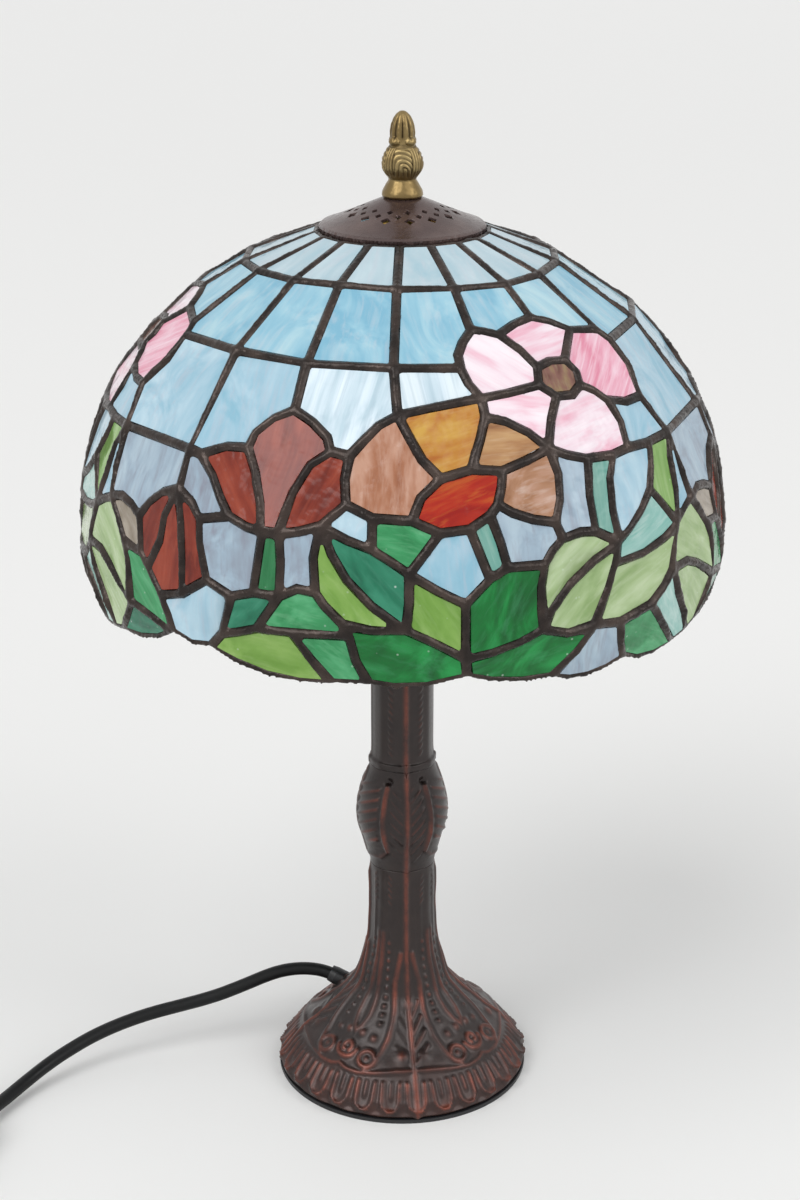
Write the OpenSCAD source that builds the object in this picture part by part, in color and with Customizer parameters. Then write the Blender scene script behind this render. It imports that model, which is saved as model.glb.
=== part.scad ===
// Table lamp with a leaded glass shade on a cast column, every piece a separate solid.
// Millimetres, +Z up. The origin is the middle of the foot's underside; the front faces -Y.

/* [Shade] */
// Radius of the shade's top opening
crown_r = 37.5; // [36:0.5:39]
// Height of the top opening's edge
crown_z = 422.5; // [418:0.5:426]
// Thickness of the glass
glass_t = 2.6; // [2:0.1:3]
// Half the width of a solder line
line_half = 2; // [1.6:0.1:2.3]
// How far the solder stands out past the middle of the glass
solder_out = 2.6; // [2:0.1:3.2]
// How far the solder stands in past the middle of the glass
solder_in = 2; // [1.6:0.1:2.4]
// Thickness of the solder at the bare edges, each side of the middle
edge_half = 1.6; // [1.2:0.1:2]
// Length of the shade from the crown to the rim, measured along its curve
dome_length = 222; // [210:1:230]
// Times that the pattern repeats round the shade
repeats = 3; // [3:1:3]

/* [Cap and finial] */
// Radius of the vent cap
cap_r = 37.2; // [36:0.1:37.4]
// Height of the vent cap's rim above its lower edge
cap_rim_h = 2.5; // [2:0.1:3]
// Thickness of the cap's sheet
cap_t = 1; // [0.8:0.1:1.2]
// Number of vent holes in one ring
vents = 14; // [8:1:15]
// Height of the finial
finial_h = 37.7; // [34:0.1:40]
// Radius of the finial's belly
finial_r = 9.5; // [8.5:0.1:10.5]

/* [Harp] */
// Radius of the harp's wire
wire_r = 1.9; // [1.7:0.1:2.1]
// Half the distance between the harp's feet
harp_foot_x = 32; // [31:0.5:36]
// Half the harp's width at the bulb
harp_wide_x = 52; // [48:0.5:56]
// Radius of the bends above the feet
harp_bend_r = 36; // [30:1:40]
// Slack of the harp's feet in their sockets
foot_slack = 0.1; // [0.06:0.01:0.1]

/* [Bulb and socket] */
// Radius of the bulb's glass
bulb_r = 25; // [22:0.5:26]
// Height of the middle of the bulb's globe above its cap's lower edge
bulb_reach = 66; // [60:1:70]
// Radius of the bulb's screw cap
bulb_cap_r = 13.1; // [12.9:0.05:13.2]
// Radius of the socket's shell
shell_r = 17; // [16.5:0.1:18]
// Height of the socket's shell
shell_h = 50; // [44:1:52]

/* [Stand] */
// Radius of the foot
foot_r = 63.5; // [60:0.5:68]
// Radius of the column
column_r = 14.6; // [13:0.1:16]
// Radius of the knop
knop_r = 22; // [20:0.5:24]
// Height of the joint between the foot and the knop
knop_z = 112; // [108:1:114]
// Height of the joint between the knop and the column
column_z = 165; // [162:1:168]
// Height of the top of the column
column_top = 246; // [240:1:247]
// Radius of the threaded pipe
pipe_r = 5; // [4.8:0.05:5.1]
// Radius of the pipe's bore
pipe_bore_r = 3.8; // [3.5:0.1:4]
// Slack round the pipe in what it threads through
pipe_slack = 0.2; // [0.1:0.05:0.4]
// Thickness of the pad under the foot
pad_t = 2; // [1.5:0.1:2]

/* [Cord] */
// Diameter of the cord
cord_d = 6.5; // [6:0.1:7]
// Turns of the coil that holds the spare cord
coil_turns = 6; // [6:1:6]
// Layers of those turns
coil_layers = 2; // [2:1:2]

/* [Hidden] */
$fn = 48;
// Clearance between pieces that are soldered, cemented or clamped together
seat_gap = 0.05;

// ---------------------------------------------------------------- the dome

// How steeply the dome falls, in degrees, at stations down from the crown. The stations are in mm
// on a dome 222 mm long, and stretch with its length.
fall = [[0, 20], [20, 20], [40, 28.5], [60, 37], [80, 44], [100, 51.5], [120, 61], [140, 72.5],
    [160, 80.5], [180, 85.5], [200, 97.5], [220, 120], [230, 135]];
dome_stretch = dome_length / 222;
function fall_at(s) = lookup(s / dome_stretch, fall);
dome_radii = [for (s = 0, r = crown_r; s <= dome_length;
    r = r + cos(fall_at(s + 0.5)), s = s + 1) r];
dome_heights = [for (s = 0, z = crown_z; s <= dome_length;
    z = z - sin(fall_at(s + 0.5)), s = s + 1) z];

// A value between two neighbours of a list
function between(list, s) = let (i = floor(s), f = s - i, j = min(i + 1, len(list) - 1))
    list[i] * (1 - f) + list[j] * f;
// The point of the dome at an azimuth (0 is the front, right is positive) and a station
function on_dome(a, s) = let (r = between(dome_radii, s))
    [r * sin(a), -r * cos(a), between(dome_heights, s)];
// The dome's outward direction there
function out_of_dome(a, s) = let (f = fall_at(s)) [sin(f) * sin(a), -sin(f) * cos(a), cos(f)];

// ------------------------------------------------------------ the pattern

// The meeting points of the solder lines in one repeat: [azimuth in degrees, station in mm].
knots = [
    // 0 to 5: top edge, cap to first row
    [-63, 0], [-42, 0], [-22, 0], [-2, 0], [18, 0], [38, 0],
    // 6 to 11: first row
    [-63, 34.1], [-42, 33.2], [-23, 32.2], [-2, 33.2], [18, 34.1], [38, 35.1],
    // 12 to 19: second row and the seam line beside the pink flower
    [-64.5, 69.7], [-62.5, 76.2], [-62.5, 89.4], [-65.5, 103.9], [-42, 75.3], [-22, 76.2], [-2, 76.2],
    [13, 77.2],
    // 20 to 23: third row and the seam line below it
    [-62.5, 122.5], [-41.5, 121.5], [-61.5, 140.7], [-60.5, 152.8],
    // 24 to 41: pink flower, outline
    [18, 58.4], [21, 59.4], [25, 62.2], [31, 57.5], [37, 55.6], [42, 59.4], [46.5, 65.9], [49.5, 103.9],
    [44.5, 100.7], [45.5, 111.2], [44.5, 122.5], [40.5, 123.5], [34.5, 122.5], [30.5, 119.5], [15, 64],
    [13, 70.6], [14, 84.4], [16, 91.5],
    // 42 to 54: pink flower, heart and petal joints
    [31, 80.3], [35, 78.2], [39, 79.3], [40.5, 85.4], [39.5, 91.5], [36.5, 95.1], [32.5, 94.5],
    [29.5, 88.4],
    [29, 71.5], [42, 73.4], [42.5, 95.6], [29.5, 103.9], [22, 90],
    // 55 to 83: orange flower
    [-1, 97.6], [-4.5, 101.8], [-7, 108], [16, 99.7], [20, 102.3], [24, 108], [27, 115.9], [22, 119.5],
    [17.5, 122.5], [12, 121], [6.5, 124.1], [1, 106], [3.5, 116.4], [14.5, 108], [11, 92.5], [5, 94.5],
    [17, 128.6], [16, 135.7], [14.5, 139.7], [11, 144.7], [6, 145.7], [1.5, 140.7], [3, 131.6],
    [-5, 139.7],
    [28, 126.6], [27.5, 136.7], [26, 145.7], [22, 143.2], [18.5, 139.7],
    // 84 to 108: tulip
    [-21.5, 97.6], [-25.5, 101.8], [-28.5, 109.1], [-29, 115.9], [-33.5, 116.9], [-38.5, 122.5],
    [-35, 129.6], [-32.5, 137.7], [-30, 144.7], [-26.5, 147.7], [-23.5, 148.8], [-20.5, 148.8],
    [-17, 146.7],
    [-13.5, 143.7], [-11.5, 139.2], [-9.5, 134.7], [-10, 124.6], [-9.5, 115.4], [-13, 113.8],
    [-14, 108],
    [-17.5, 101.8], [-26.5, 125.6], [-24.5, 137.7], [-16.5, 119.5], [-19, 131.6],
    // 109 to 128: bud and sepal
    [-41.5, 138.2], [-45.5, 141.7], [-48.5, 147.7], [-50.5, 154.8], [-49, 170], [-47, 175.1],
    [-43.5, 184.8], [-38.5, 181.2], [-33.5, 172.6], [-35.5, 157.8], [-36, 148.2], [-38, 142.7],
    [-44, 150.8], [-44.5, 161.9], [-40, 151.8], [-39, 167], [-54.5, 168], [-57.5, 159.8], [-57, 150.3],
    [-53.5, 151.8],
    // 129 to 156: small sky panes and stems under the flowers
    [27, 152.8], [30.5, 151.3], [33.5, 152.3], [33.5, 137.7], [38, 158.8], [37.8, 145.7], [38.5, 132.6],
    [23.5, 161.9], [25, 156.8], [17, 161.3], [16, 150.8], [14, 165.4], [12.5, 154.8], [10, 175.1],
    [1, 161.9],
    [3.5, 153.8], [5.5, 169], [-5, 152.3], [-2, 156.8], [-9, 148.8], [-24.5, 174.1], [-24, 160.8],
    [-28.5, 177.2], [-20, 174.1], [-20, 160.8], [-14, 171], [-14.5, 156.8], [-17, 170],
    // 157 to 183: leaves beside the pink stem
    [50.5, 123], [49.5, 131.6], [47.5, 141.7], [44.5, 148.8], [41, 154.8], [50.5, 150.3], [53.5, 159.8],
    [55, 146.7], [55.7, 132.6], [56.5, 155.8], [37, 167.5], [44, 167], [49.5, 163.9], [51, 178.2],
    [52, 169],
    [45.5, 190.3], [49, 184.2], [32.5, 191.3], [35.5, 177.2], [38, 193.3], [23, 189.3], [27.5, 192.8],
    [33, 163.9], [28, 172.1], [24.5, 181.2], [22.7, 171], [22.7, 180.2],
    // 184 to 210: rim, right part
    [-52, 193.8], [-52.5, 182.2], [-53, 175.1], [-63.5, 178.7], [-59.5, 182.7], [-55.5, 188.3],
    [-57.5, 211.8], [-54.5, 202.5], [-41, 199.9], [-46, 196.9], [-45.5, 206.2], [-51, 210.3],
    [-60.5, 213.8], [53.5, 190.3], [57, 202.5], [55, 215.9], [51.5, 206.7], [48.5, 198.4],
    [40.5, 211.8],
    [39, 202.5], [44.5, 216.4], [49.5, 217.9], [25.5, 212.8], [29.5, 202.5], [29, 215.9], [33, 216.9],
    [37, 215.4],
    // 211 to 245: rim, left part
    [10.5, 206.7], [10, 198.4], [14.5, 196.9], [19, 193.8], [14.5, 210.3], [20, 212.8], [10, 186.3],
    [0.5, 185.3], [1, 174.1], [5.5, 191.8], [-11.5, 154.8], [-9, 164.9], [-5, 175.1], [-9.5, 183.2],
    [-12.5, 176.1], [-5, 185.3], [-8.5, 188.3], [-5.5, 209.8], [-7.5, 199.4], [-1.5, 211.8], [4, 211.3],
    [-11.5, 210.3], [-18, 188.8], [-15, 199.4], [-24, 189.3], [-22, 181.7], [-30.5, 194.3],
    [-27.5, 192.3],
    [-29.5, 185.8], [-33, 201.5], [-17, 211.8], [-23, 210.8], [-28.5, 206.7], [-37, 203], [-42, 192.3]
];
repeat_angle = 360 / repeats;

// The panes, each a ring of knots. A knot plus 1000 is the same knot one repeat further right.
// Sky glass, the row under the cap
sky_crown_panes = [
    [0, 6, 7, 1],
    [1, 7, 8, 2],
    [2, 8, 9, 3],
    [3, 9, 10, 4],
    [4, 10, 11, 5],
    [5, 11, 1006, 1000]
];
// Sky glass, the second row
sky_upper_panes = [
    [6, 12, 13, 16, 7],
    [7, 16, 17, 8],
    [8, 17, 18, 9],
    [9, 18, 19, 39, 38, 24, 10],
    [10, 24, 25, 26, 27, 28, 11],
    [11, 28, 29, 30, 1012, 1006]
];
// Sky glass between the flowers
sky_lower_panes = [
    [13, 14, 15, 20, 21, 16],
    [16, 21, 89, 88, 87, 86, 85, 84, 17],
    [32, 33, 34, 157, 1020, 1015, 31],
    [117, 116, 115, 245, 192, 244, 240, 237, 239, 151],
    [99, 98, 97, 148, 146, 78],
    [75, 144, 143, 145, 142, 140, 141, 74],
    [35, 135, 134, 133, 161, 160, 159, 158, 157, 34],
    [1020, 165, 164, 163, 166, 1023, 1022]
];
// Lilac sky glass
lilac_panes = [
    [20, 22, 23, 127, 128, 112, 111, 110, 109, 21],
    [21, 109, 120, 119, 92, 91, 90, 89],
    [92, 119, 118, 117, 151, 149, 150, 94, 93],
    [95, 153, 152, 156, 154, 155, 97, 96],
    [72, 73, 139, 138, 136, 137, 129, 81, 82, 83],
    [61, 79, 80, 81, 129, 130, 131, 132, 36, 37],
    [174, 207, 206, 208, 209, 210, 202, 203, 176]
];
// White striped glass
white_panes = [
    [17, 84, 104, 103, 102, 101, 57, 56, 55, 18],
    [18, 55, 70, 69, 41, 40, 19]
];
// Petals of the pink flower
pink_panes = [
    [24, 38, 39, 19, 40, 41, 54, 49, 42, 50, 26, 25],
    [26, 50, 42, 43, 44, 51, 30, 29, 28, 27],
    [30, 51, 44, 45, 46, 52, 32, 31, 1015, 1014, 1013, 1012],
    [46, 47, 48, 53, 61, 37, 36, 35, 34, 33, 32, 52],
    [49, 54, 41, 58, 59, 60, 61, 53, 48]
];
// Heart of the pink flower
heart_panes = [
    [42, 49, 48, 47, 46, 45, 44, 43]
];
// Petals of the orange flower, the red one last
orange_panes = [
    [55, 56, 57, 101, 100, 99, 78, 76, 77, 65, 67, 66],
    [41, 69, 70, 55, 66, 67, 65, 64, 68, 58],
    [58, 68, 64, 63, 62, 61, 60, 59],
    [63, 71, 72, 83, 82, 81, 80, 79, 61, 62],
    [65, 77, 76, 75, 74, 73, 72, 71, 63, 64]
];
// Petals of the red tulip
tulip_panes = [
    [87, 88, 89, 90, 91, 92, 93, 94, 106, 105],
    [84, 85, 86, 87, 105, 106, 94, 95, 108, 107, 102, 103, 104],
    [102, 107, 108, 95, 96, 97, 98, 99, 100, 101]
];
// Petals of the red bud
bud_panes = [
    [109, 110, 111, 112, 113, 114, 122, 121],
    [109, 121, 122, 114, 115, 116, 124, 123],
    [109, 123, 124, 116, 117, 118, 119, 120]
];
// Beige sepal beside the bud
sepal_panes = [
    [23, 126, 125, 113, 112, 128, 127]
];
// Green stems
stem_panes = [
    [94, 150, 149, 152, 153, 95],
    [36, 132, 131, 133, 134, 135, 35],
    [73, 74, 141, 140, 138, 139]
];
// Mint leaves
mint_panes = [
    [159, 160, 161, 133, 167, 168, 169, 163, 162],
    [170, 173, 172, 201, 200, 199, 1196, 198, 197]
];
// Bright green blade
blade_panes = [
    [157, 158, 159, 162, 163, 164, 165, 1020]
];
// Pale green leaves
pale_panes = [
    [1023, 166, 163, 171, 170, 1187, 1188, 1189, 1184, 1185, 1186, 1125, 1126],
    [170, 197, 198, 1196, 1190, 1191, 1184, 1189, 1188, 1187],
    [167, 175, 174, 176, 172, 173, 170, 171, 163, 169, 168],
    [129, 137, 136, 182, 183, 177, 181, 180, 179, 133, 131, 130],
    [133, 179, 180, 181, 177, 178, 174, 175, 167]
];
// Lime leaves
lime_panes = [
    [97, 155, 154, 225, 224, 226, 218, 223, 222, 221],
    [233, 235, 238, 237, 240, 243, 242, 241, 232, 234],
    [143, 219, 218, 220, 212, 217, 142, 145]
];
// Teal leaves
teal_panes = [
    [97, 221, 222, 223, 218, 219, 143, 147, 146, 148],
    [184, 191, 190, 195, 194, 192, 193],
    [149, 151, 239, 237, 238, 235, 236, 152]
];
// Emerald leaves
emerald_panes = [
    [224, 227, 229, 228, 230, 231, 211, 212, 220, 218, 226],
    [138, 140, 142, 217, 212, 213, 214, 177, 183, 182, 136],
    [177, 214, 213, 212, 211, 215, 216, 206, 207, 174, 178]
];
// Mid green leaves
green_panes = [
    [78, 146, 147, 143, 144, 75, 76],
    [125, 186, 185, 184, 193, 192, 245, 115, 114, 113],
    [152, 236, 235, 233, 227, 224, 225, 154, 156],
    [227, 233, 234, 232, 228, 229],
    [172, 176, 203, 202, 204, 205, 199, 200, 201]
];
all_panes = concat(sky_crown_panes, sky_upper_panes, sky_lower_panes, lilac_panes, white_panes,
    pink_panes, heart_panes, orange_panes, tulip_panes, bud_panes, sepal_panes, stem_panes,
    mint_panes, blade_panes, pale_panes, lime_panes, teal_panes, emerald_panes, green_panes);
// The bare edges, in order from left to right: the crown and the scalloped rim
crown_edge = [0, 1, 2, 3, 4, 5];
rim_edge = [206, 208, 209, 210, 202, 204, 205, 199,
    1196, 1190, 1195, 1194, 1192, 1244, 1240, 1243, 1242, 1241, 1232, 1228, 1230, 1231, 1211, 1215, 1216];

function knot_angle(k, turn) = knots[k % 1000][0] + (turn + floor(k / 1000)) * repeat_angle;
function knot_station(k) = knots[k % 1000][1] * dome_stretch;
function knot_place(k, turn) = on_dome(knot_angle(k, turn), knot_station(k));
function knot_out(k, turn) = out_of_dome(knot_angle(k, turn), knot_station(k));
function is_bare(k) = len([for (e = concat(crown_edge, rim_edge)) if (e % 1000 == k % 1000) e]) > 0;

function total(list, i = 0) = i == len(list) - 1 ? list[i] : list[i] + total(list, i + 1);
function unit(v) = v / norm(v);

// A pane's own plane, as [middle, normal, across, up]
function pane_plane(points) = let (
        n = len(points),
        middle = total(points) / n,
        normal = unit(total([for (i = [0:n - 1])
            cross(points[i] - middle, points[(i + 1) % n] - middle)])),
        turn = atan2(normal[1], normal[0]),
        tilt = acos(normal[2]),
        across = [cos(tilt) * cos(turn), cos(tilt) * sin(turn), -sin(tilt)],
        up = [-sin(turn), cos(turn), 0])
    [middle, normal, across, up, turn, tilt];

// A pane's outline in its plane, before the solder is taken off
function flat_outline(points, plane) = [for (p = points)
    [(p - plane[0]) * plane[2], (p - plane[0]) * plane[3]]];

// The outline moved inwards by a distance
function inset(outline, distance) = let (n = len(outline)) [for (i = [0:n - 1]) let (
        before = unit(outline[i] - outline[(i + n - 1) % n]),
        after = unit(outline[(i + 1) % n] - outline[i]),
        left = [-before[1], before[0]],
        right = [-after[1], after[0]],
        reach = max(1 + left * right, 0.22))
    outline[i] + (left + right) * distance / reach];

// The glass panes of one kind, repeated round the shade
module panes(kind) {
    for (turn = [0:repeats - 1])
        for (ring = kind) {
            points = [for (k = ring) knot_place(k, turn)];
            plane = pane_plane(points);
            outline = inset(flat_outline(points, plane), line_half);
            translate(plane[0])
                rotate([0, plane[5], plane[4]])
                    translate([0, 0, -glass_t / 2])
                        linear_extrude(glass_t)
                            polygon(outline);
        }
}

module sky_glass_crown() { color("lightblue") panes(sky_crown_panes); }
module sky_glass_upper() { color("skyblue") panes(sky_upper_panes); }
module sky_glass_lower() { color("lightskyblue") panes(sky_lower_panes); }
module lilac_glass() { color("lightsteelblue") panes(lilac_panes); }
module white_glass() { color("aliceblue") panes(white_panes); }
module pink_petals() { color("lavenderblush") panes(pink_panes); }
module flower_hearts() { color("rosybrown") panes(heart_panes); }
module orange_petals() { color("darkorange") panes(orange_panes); }
module tulip_petals() { color("firebrick") panes(tulip_panes); }
module bud_petals() { color("brown") panes(bud_panes); }
module bud_sepals() { color("tan") panes(sepal_panes); }
module flower_stems() { color("mediumaquamarine") panes(stem_panes); }
module mint_leaves() { color("aquamarine") panes(mint_panes); }
module bright_blades() { color("yellowgreen") panes(blade_panes); }
module pale_leaves() { color("darkseagreen") panes(pale_panes); }
module lime_leaves() { color("olivedrab") panes(lime_panes); }
module teal_leaves() { color("teal") panes(teal_panes); }
module emerald_leaves() { color("seagreen") panes(emerald_panes); }
module green_leaves() { color("mediumseagreen") panes(green_panes); }

// -------------------------------------------------------------- the solder

// The lattice has two skins that meet on every knot: a ridge outside and a ridge inside.
// Between them each pane has a hole, whose wall follows the pane's edge.
function ridge_out(k, turn) = knot_place(k, turn)
    + knot_out(k, turn) * (is_bare(k) ? edge_half : solder_out);
function ridge_in(k, turn) = knot_place(k, turn)
    - knot_out(k, turn) * (is_bare(k) ? edge_half : solder_in);

// The wall of one pane's hole: a ring outside, then a ring inside
function hole_wall(ring, turn) = let (
        points = [for (k = ring) knot_place(k, turn)],
        plane = pane_plane(points),
        outline = inset(flat_outline(points, plane), line_half - seat_gap))
    [for (side = [1, -1]) for (p = outline)
        plane[0] + plane[2] * p[0] + plane[3] * p[1] + plane[1] * side * glass_t / 2];

module solder_lattice() {
    count = len(knots);
    ridges = concat(
        [for (turn = [0:repeats - 1]) for (k = [0:count - 1]) ridge_out(k, turn)],
        [for (turn = [0:repeats - 1]) for (k = [0:count - 1]) ridge_in(k, turn)]);
    inside = count * repeats;
    // Where a knot of a ring is in the list of ridges
    function ridge(k, turn) = (k % 1000) + count * ((turn + floor(k / 1000)) % repeats);
    sizes = [for (ring = all_panes) len(ring) * 2];
    starts = [for (i = 0, s = 0; i < len(all_panes); s = s + sizes[i], i = i + 1) s];
    per_turn = total(sizes);
    walls = [for (turn = [0:repeats - 1]) for (ring = all_panes) each hole_wall(ring, turn)];
    skins = [for (turn = [0:repeats - 1]) for (j = [0:len(all_panes) - 1]) let (
            ring = all_panes[j],
            n = len(ring),
            first = 2 * inside + turn * per_turn + starts[j])
        for (i = [0:n - 1]) let (
            m = (i + 1) % n,
            a = ridge(ring[i], turn),
            b = ridge(ring[m], turn),
            c = first + i,
            d = first + m)
        each [[b, a, c], [b, c, d], [d, c, c + n], [d, c + n, d + n],
            [d + n, c + n, a + inside], [d + n, a + inside, b + inside]]];
    crown = [for (turn = [0:repeats - 1]) for (i = [0:len(crown_edge) - 1]) let (
            a = ridge(crown_edge[i], turn),
            b = ridge(i == len(crown_edge) - 1 ? crown_edge[0] + 1000 : crown_edge[i + 1], turn))
        each [[b, a, a + inside], [b, a + inside, b + inside]]];
    rim = [for (turn = [0:repeats - 1]) for (i = [0:len(rim_edge) - 1]) let (
            a = ridge(rim_edge[i], turn),
            b = ridge(i == len(rim_edge) - 1 ? rim_edge[0] + 1000 : rim_edge[i + 1], turn))
        each [[a, b, b + inside], [a, b + inside, a + inside]]];
    color("dimgray")
        polyhedron(points = concat(ridges, walls), faces = concat(skins, crown, rim), convexity = 12);
}

// ---------------------------------------------------------- cap and finial

cap_top = crown_z + 14.8;
module ring(outer, inner, low, high) {
    translate([0, 0, low])
        difference() {
            cylinder(r = outer, h = high - low);
            translate([0, 0, -1])
                cylinder(r = inner, h = high - low + 2);
        }
}

// Brass ring that stiffens the crown of the shade
module crown_ring() {
    color("darkgoldenrod")
        ring(cap_r - 0.3, cap_r - 2.5, crown_z - 5, crown_z - 2.5);
}

// The dome of the vent cap, from its rim to the finial, and the same line one sheet lower
hole_r = 3.5;
cap_dome = [[0.97 * cap_r, cap_rim_h + 1.1], [0.86 * cap_r, 5], [0.62 * cap_r, 8.6],
    [0.36 * cap_r, 12.8], [0.23 * cap_r, 14.8]];
cap_line = concat([[cap_r, -1], [cap_r, cap_rim_h]], smooth(cap_dome, 3));
vent_start = -82.5;
module vent_cap() {
    upper = concat(cap_line, [[hole_r, 14.8]]);
    lower = concat([[hole_r, 14.8 - cap_t]], [for (i = [len(cap_line) - 1:-1:0])
        cap_line[i] - (i == 0 ? [cap_t, 0] : i == 1 ? [cap_t, 0.4] : [0.4 * cap_t, cap_t])]);
    color("rosybrown")
        difference() {
            translate([0, 0, crown_z])
                rotate_extrude()
                    polygon(concat(upper, lower));
            for (i = [0:vents - 1]) {
                vent(vent_start + i * 360 / vents, 0.63 * cap_r, 2.4);
                vent(vent_start + (i + 0.5) * 360 / vents, 0.55 * cap_r, 1.6);
                vent(vent_start + i * 360 / vents, 0.47 * cap_r, 1.5);
            }
        }
}
// A diamond hole
module vent(angle, r, half) {
    rotate([0, 0, angle])
        translate([r, 0, crown_z])
            cylinder(r = half, h = 20, $fn = 4);
}

stud_r = 3.1;
module finial() {
    s = finial_r / 9.5;
    h = finial_h / 37.7;
    line = [[8.2, 0], [9.2, 1.3], [9, 2.9], [7.4, 5.7], [6.3, 7.7], [6.3, 8.3], [7.6, 10.1],
        [9.2, 12.6], [9.5, 14.7], [9, 17.7], [7.6, 21.2], [6.5, 22.8], [7.1, 24.6], [6.2, 26.4],
        [5.8, 28.7], [5, 32.2], [3.5, 35.7], [1.8, 37.2], [0, 37.7]];
    bore = [stud_r + 0.2, 11];
    color("darkkhaki")
        translate([0, 0, cap_top + seat_gap])
            rotate_extrude()
                polygon(concat([[bore[0], 0]], [for (p = line) [p[0] * s, p[1] * h]],
                    [[0, bore[1]], bore]));
}

// -------------------------------------------------------------------- harp

saddle_z = column_top + 5;
saddle_t = 2;
socket_z = saddle_z + saddle_t;
foot_socket_h = 9;
bend_start_z = socket_z + 27;
bend_angle = acos(1 - (harp_wide_x - harp_foot_x) / (2 * harp_bend_r));
bend_mid_z = bend_start_z + 2 * harp_bend_r * sin(bend_angle);
seat_z = cap_top - cap_t - seat_gap;
harp_top_z = seat_z - 9;
arch_z = harp_top_z - harp_wide_x;

// Part of a ring of wire standing in the XZ plane
module wire_bend(centre, r, from, sweep) {
    translate([centre[0], 0, centre[1]])
        rotate([90, 0, 0])
            mirror([0, 0, 1])
                rotate([0, 0, from])
                    rotate_extrude(angle = sweep)
                        translate([r, 0])
                            circle(r = wire_r, $fn = 24);
}
module wire_rod(x, low, high) {
    translate([x, 0, low])
        cylinder(r = wire_r, h = high - low, $fn = 24);
}
module wire_joint(x, z) {
    translate([x, 0, z])
        sphere(r = wire_r + 0.06, $fn = 24);
}
module half_harp() {
    wire_rod(harp_foot_x, socket_z + 0.6, bend_start_z);
    wire_joint(harp_foot_x, bend_start_z);
    wire_joint((harp_foot_x + harp_wide_x) / 2, (bend_start_z + bend_mid_z) / 2);
    wire_joint(harp_wide_x, bend_mid_z);
    wire_joint(harp_wide_x, arch_z);
    wire_bend([harp_foot_x + harp_bend_r, bend_start_z], harp_bend_r, 180 - bend_angle, bend_angle);
    wire_bend([harp_wide_x - harp_bend_r, bend_mid_z], harp_bend_r, -bend_angle, bend_angle);
    wire_rod(harp_wide_x, bend_mid_z, arch_z);
    wire_bend([0, arch_z], harp_wide_x, 0, 90);
}
module harp_wire() {
    color("goldenrod") {
        half_harp();
        mirror([1, 0, 0])
            half_harp();
        wire_joint(0, harp_top_z);
    }
}
// Round seat crimped over the top of the harp, with the stud that the finial screws on
module harp_seat() {
    color("goldenrod")
        difference() {
            union() {
                translate([0, 0, harp_top_z - 3.4])
                    cylinder(r = 5, h = 8);
                translate([0, 0, seat_z - 4.6])
                    cylinder(r = 0.21 * cap_r, h = 4.6);
                translate([0, 0, seat_z - 1])
                    cylinder(r = stud_r, h = 11);
            }
            translate([-20, 0, harp_top_z])
                rotate([0, 90, 0])
                    cylinder(r = wire_r + 2 * seat_gap, h = 40);
        }
}
// Saddle: a bar clamped under the socket, with two sockets for the harp's feet
module harp_saddle() {
    color("goldenrod")
        difference() {
            union() {
                translate([-harp_foot_x, -6, saddle_z])
                    cube([2 * harp_foot_x, 12, saddle_t]);
                translate([0, 0, saddle_z])
                    cylinder(r = 12, h = saddle_t);
                for (x = [-harp_foot_x, harp_foot_x])
                    translate([x, 0, saddle_z]) {
                        cylinder(r = 6, h = saddle_t);
                        cylinder(r = wire_r + 1, h = saddle_t + foot_socket_h);
                    }
            }
            translate([0, 0, saddle_z - 1])
                cylinder(r = pipe_r + pipe_slack, h = saddle_t + 2);
            for (x = [-harp_foot_x, harp_foot_x])
                translate([x, 0, socket_z])
                    cylinder(r = wire_r + foot_slack, h = foot_socket_h + 1);
        }
}
// Sleeve that slips down over a foot and its socket
module harp_sleeve(x) {
    low = socket_z + 0.4;
    step = socket_z + foot_socket_h + 0.6;
    color("darkgoldenrod")
        translate([x, 0, low])
            difference() {
                cylinder(r = wire_r + 2.4, h = 15);
                translate([0, 0, -1])
                    cylinder(r = wire_r + 1.1, h = step - low + 1);
                translate([0, 0, -1])
                    cylinder(r = wire_r + foot_slack, h = 17);
            }
}
module harp_sleeve_left() { harp_sleeve(-harp_foot_x); }
module harp_sleeve_right() { harp_sleeve(harp_foot_x); }

// ---------------------------------------------------------- socket and bulb

shell_top = socket_z + 9 + shell_h;
module socket_cap() {
    color("goldenrod")
        translate([0, 0, socket_z + seat_gap])
            rotate_extrude()
                polygon([[pipe_r + pipe_slack, 0], [11, 0], [shell_r - 1, 4.5], [shell_r + 0.9, 9],
                    [shell_r + 0.9, 18], [shell_r + seat_gap, 18], [shell_r + seat_gap, 8.8],
                    [shell_r - 2, 5.5], [10.5, 1], [8, 1], [8, 7], [pipe_r + pipe_slack, 7]]);
}
module socket_shell() {
    color("darkgoldenrod")
        ring(shell_r, shell_r - 0.6, socket_z + 9, shell_top);
}
module socket_liner() {
    color("peru")
        ring(shell_r - 0.7, shell_r - 1.6, socket_z + 11, shell_top - 1);
}
body_z = socket_z + 13;
module socket_body() {
    color("black")
        difference() {
            translate([0, 0, body_z])
                cylinder(r = shell_r - 1.8, h = 18);
            for (x = [-9, 9])
                translate([x, 0, body_z - 1])
                    cylinder(r = 2, h = 7, $fn = 24);
        }
}
module screw_shell() {
    color("gold")
        ring(bulb_cap_r + 0.8, bulb_cap_r + 0.3, body_z + 18 + seat_gap, shell_top - 3);
}
module centre_contact() {
    color("gold")
        translate([0, 0, body_z + 18 + seat_gap])
            cylinder(r = 4, h = 1.2);
}
module terminal_screws() {
    color("silver")
        for (x = [-9, 9])
            translate([x, 0, body_z - 2]) {
                cylinder(r = 1.9, h = 7, $fn = 24);
                translate([0, 0, -1.6])
                    cylinder(r = 3.2, h = 1.6, $fn = 24);
            }
}

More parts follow.
